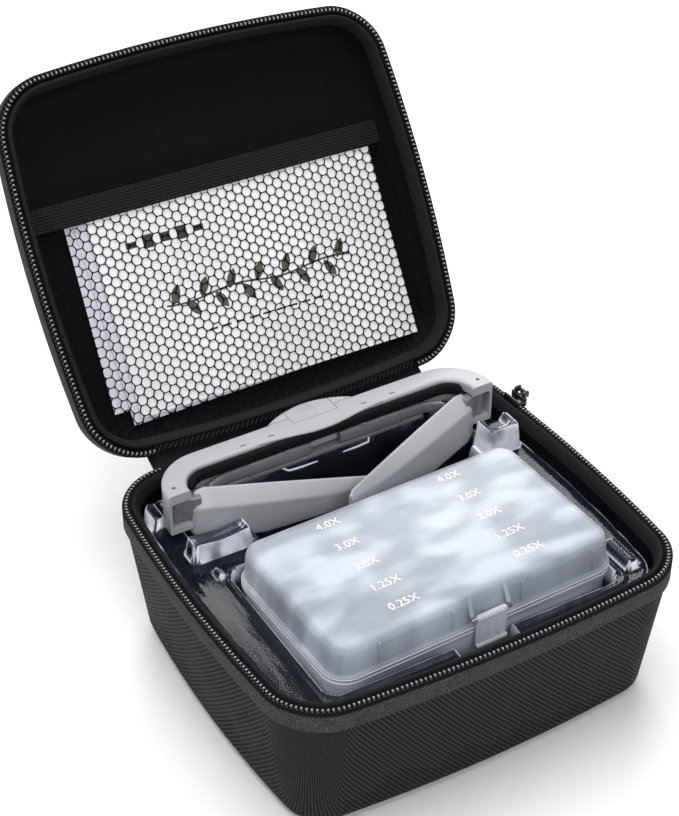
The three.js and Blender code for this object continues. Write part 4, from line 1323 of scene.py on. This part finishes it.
box_lid = rings([(3.4, 86), (2.2, 84.4), (1.8, 70.45), (-0.9, 70.45), (-1.2, 70.7), (-1.2, 72.0),
                 (-0.9, 72.6), (-0.1, 73.2), (0.2, 73.8), (0.7, 83.0), (1.1, 85.0), (1.9, 86.6),
                 (3.2, 87.6), (5, 88)], box_at)
for x0 in (-39.6, 33.6):
    box_lid.join(hinge_knuckle(x0, 70.7, 72.2))
for side in (-1, 1):
    middle = LATCH_X + side * 9.5
    box_lid.join(tube([(middle - side * 0.6, -38.2, 87.2), (middle - side * 0.4, -41.0, 85.6),
                       (middle, -42.4, 82.5), (middle + side * 0.1, -44.0, 79.2),
                       (middle, LATCH_AT, LATCH_PIN_Z), (middle, -43.4, 75.6)], 1.1, 10))
for x in (-52, -15, 21, 60):
    box_lid.join(brick(x - 0.4, x + 0.4, -42.2, -41.2, 73.4, 84.6, 0.18, 0.2))
make("box_cover", box_lid.place(BOX), "box_lid", FROSTED, ["lens_box_lid"], 40)
make("cover_rim_line", rim_glint_bead(71.7).place(BOX), "box_lid", MARKS_AND_RIM_GLINT, (), 60)

latch_low, latch_high = LATCH_X - 8, LATCH_X + 8
latch = barrel((latch_low, latch_low + 0.8, latch_high - 0.8, latch_high), LATCH_AT, LATCH_PIN_Z, 1.7)
latch.join(brick(latch_low, latch_high, LATCH_AT - 0.9, LATCH_AT + 0.8, 62.5, LATCH_PIN_Z, 0.5, 0.8))
latch.join(brick(latch_low, latch_high, LATCH_AT - 2.3, LATCH_AT, 62.5, 64.1, 0.5, 0.8))
for x in (LATCH_X - 4, LATCH_X, LATCH_X + 4):
    latch.join(brick(x - 0.4, x + 0.4, LATCH_AT - 1.4, LATCH_AT - 0.5, 65.5, 72, 0.2, 0.3))
make("box_clasp", latch.place(BOX), "box_latch", CLASP, ["lens_box_latch"], 40)
refine("latch_pin", "clasp_pin", "box_lid", STEEL, 0.15)
for side in ("left", "right"):
    refine(f"box_hinge_pin_{side}", f"box_rod_{side}", "lens_box", STEEL, 0.15)
refine("lens_rack", "rack", "lens_box", FROSTED_BASE, 0.25)


def sleeve(row):
    """A spare lens's soft film sleeve, creased and puffed where it stands in the rack."""
    y0 = (row - 2) * 15.5
    rows = []
    for i, x in enumerate(np.linspace(-53, 53, 41)):
        edge = math.sin(math.pi * (i + 0.3) / 40.6) ** 0.3 if 0 < i < 40 else 0.25
        row_points = []
        for a in around(20):
            c, s = math.cos(a), math.sin(a)
            puff = 1 + 0.5 * math.sin(x * 0.21 + row * 1.7) * math.sin(a + row)
            w = 2.9 * edge * puff * squared(c, 0.8)
            h = 11.6 * edge * squared(s, 0.6)
            h += 1.2 * math.sin(x * 0.33 + row * 2.1) * max(s, 0)
            row_points.append((x, y0 + w + 1.1 * math.sin(x * 0.12 + row), 70.6 + h))
        rows.append(row_points)
    return strip(rows, closed=True)


for row in range(5):
    refine(f"spare_lens_{row + 1}", f"spare_plate_{row + 1}", "spare_lenses", LENS, 0.3)
    make(f"lens_sleeve_{row + 1}", sleeve(row).place(BOX), "spare_lenses", FILM, (), 70)


def power_marks():
    """Raised lens powers on the cover, two of each, as plain numbers."""
    shape = Shape()
    powers = ("4.0X", "3.0X", "2.0X", "1.25X", "0.25X")
    places = [(x, y) for y in (31.8, 15.6, 0.2, -14.9, -29.0) for x in (-31.5, 33.5)]
    for k, (x, y) in enumerate(places):
        curve = bpy.data.curves.new("mark", "FONT")
        curve.body, curve.size, curve.extrude = powers[k // 2], 6.2, 0.14
        curve.align_x = curve.align_y = "CENTER"
        curve.resolution_u = 3
        item = put("mark", curve)
        bpy.context.view_layer.update()
        graph = bpy.context.evaluated_depsgraph_get()
        data = bpy.data.meshes.new_from_object(item.evaluated_get(graph))
        points = np.array([v.co for v in data.vertices]) + (x, y, MARKS_Z)
        shape.add(points, [list(p.vertices) for p in data.polygons])
        bpy.data.objects.remove(item)
        bpy.data.meshes.remove(data)
    make("power_marks", shape.place(BOX), "box_lid", MARKS_AND_RIM_GLINT, (), 30)


power_marks()

# ---------------------------------------------------------------- zip slider and pull
SLIDER_Y, PLATES = 52, (-5.5, 5.5, 74.8, 79.1)      # PLATES: Y and Z range of both plates
slider_edge = CASE_W / 2 + CASE_BULGE * (1 - (SLIDER_Y / (CASE_D / 2)) ** 2) + 0.2
SLIDER = matrix(shift(slider_edge, SLIDER_Y, 0), turn(3, "Z"))
slider = brick(0.6, 2.4, *PLATES, 0.5, 0.8)
slider.join(brick(-3.7, -2.8, *PLATES, 0.3, 0.4))
slider.join(brick(-3.2, 1.0, -5.5, -1.5, 76.9, 77.9, 0.3, 0.5))
for y0 in (-3.9, 2.3):
    slider.join(brick(1, 4.8, y0, y0 + 1.6, 78.4, 81.6, 0.5, 0.6))
make("slider_body", slider.place(SLIDER), "slider", BLACKENED, ["zip_slider"], 40)
refine("zip_pull", "pull_tab", "pull", BLACKENED, 0.2)

# ---------------------------------------------------------------- floor, light and camera


def floor():
    data = bpy.data.meshes.new("floor")
    r, z = 6.0, -0.0005
    data.from_pydata([(-r, -r, z), (r, -r, z), (r, r, z), (-r, r, z)], [], [[0, 1, 2, 3]])
    look = Look("pale_floor", (0.86, 0.86, 0.865), 0.6)
    look.tint(look.noise(8, 2), 0.99, 1.01)
    data.materials.append(look.material)
    put("floor", data)


def aim(item, place, ahead):
    """Puts a lamp or the camera at a place, facing ahead."""
    item.location = place
    item.rotation_mode = "QUATERNION"
    item.rotation_quaternion = ahead.to_track_quat("-Z", "Y")


def lamp(name, place, size, power, target=(0, 0.02, 0.08)):
    data = bpy.data.lights.new(name, "AREA")
    data.shape, data.size, data.size_y, data.energy = "RECTANGLE", size[0], size[1], power
    aim(put(name, data), place, Vector(target) - Vector(place))


floor()
lamp("top", (-0.3, 0.3, 2.2), (2.4, 2.0), 52)
lamp("back", (0.85, 1.45, 1.25), (1.1, 0.7), 16)
lamp("front", (-0.3, -1.5, 1.4), (0.9, 0.5), 13)
world = bpy.data.worlds.new("studio")
world.use_nodes = True
background = next(n for n in world.node_tree.nodes if n.type == "BACKGROUND")
background.inputs["Color"].default_value = (1, 1, 1, 1)
background.inputs["Strength"].default_value = 0.36
bpy.context.scene.world = world
bpy.context.scene.view_settings.view_transform = "Standard"

camera_data = bpy.data.cameras.new("camera")
camera_data.lens, camera_data.sensor_width = 83.40, 36
camera_data.clip_start, camera_data.clip_end = 0.05, 30
camera = put("camera", camera_data)
aim(camera, (-0.35575, -0.56273, 0.61736), Vector((0.4091, 0.7024, -0.5824)))
bpy.context.scene.camera = camera
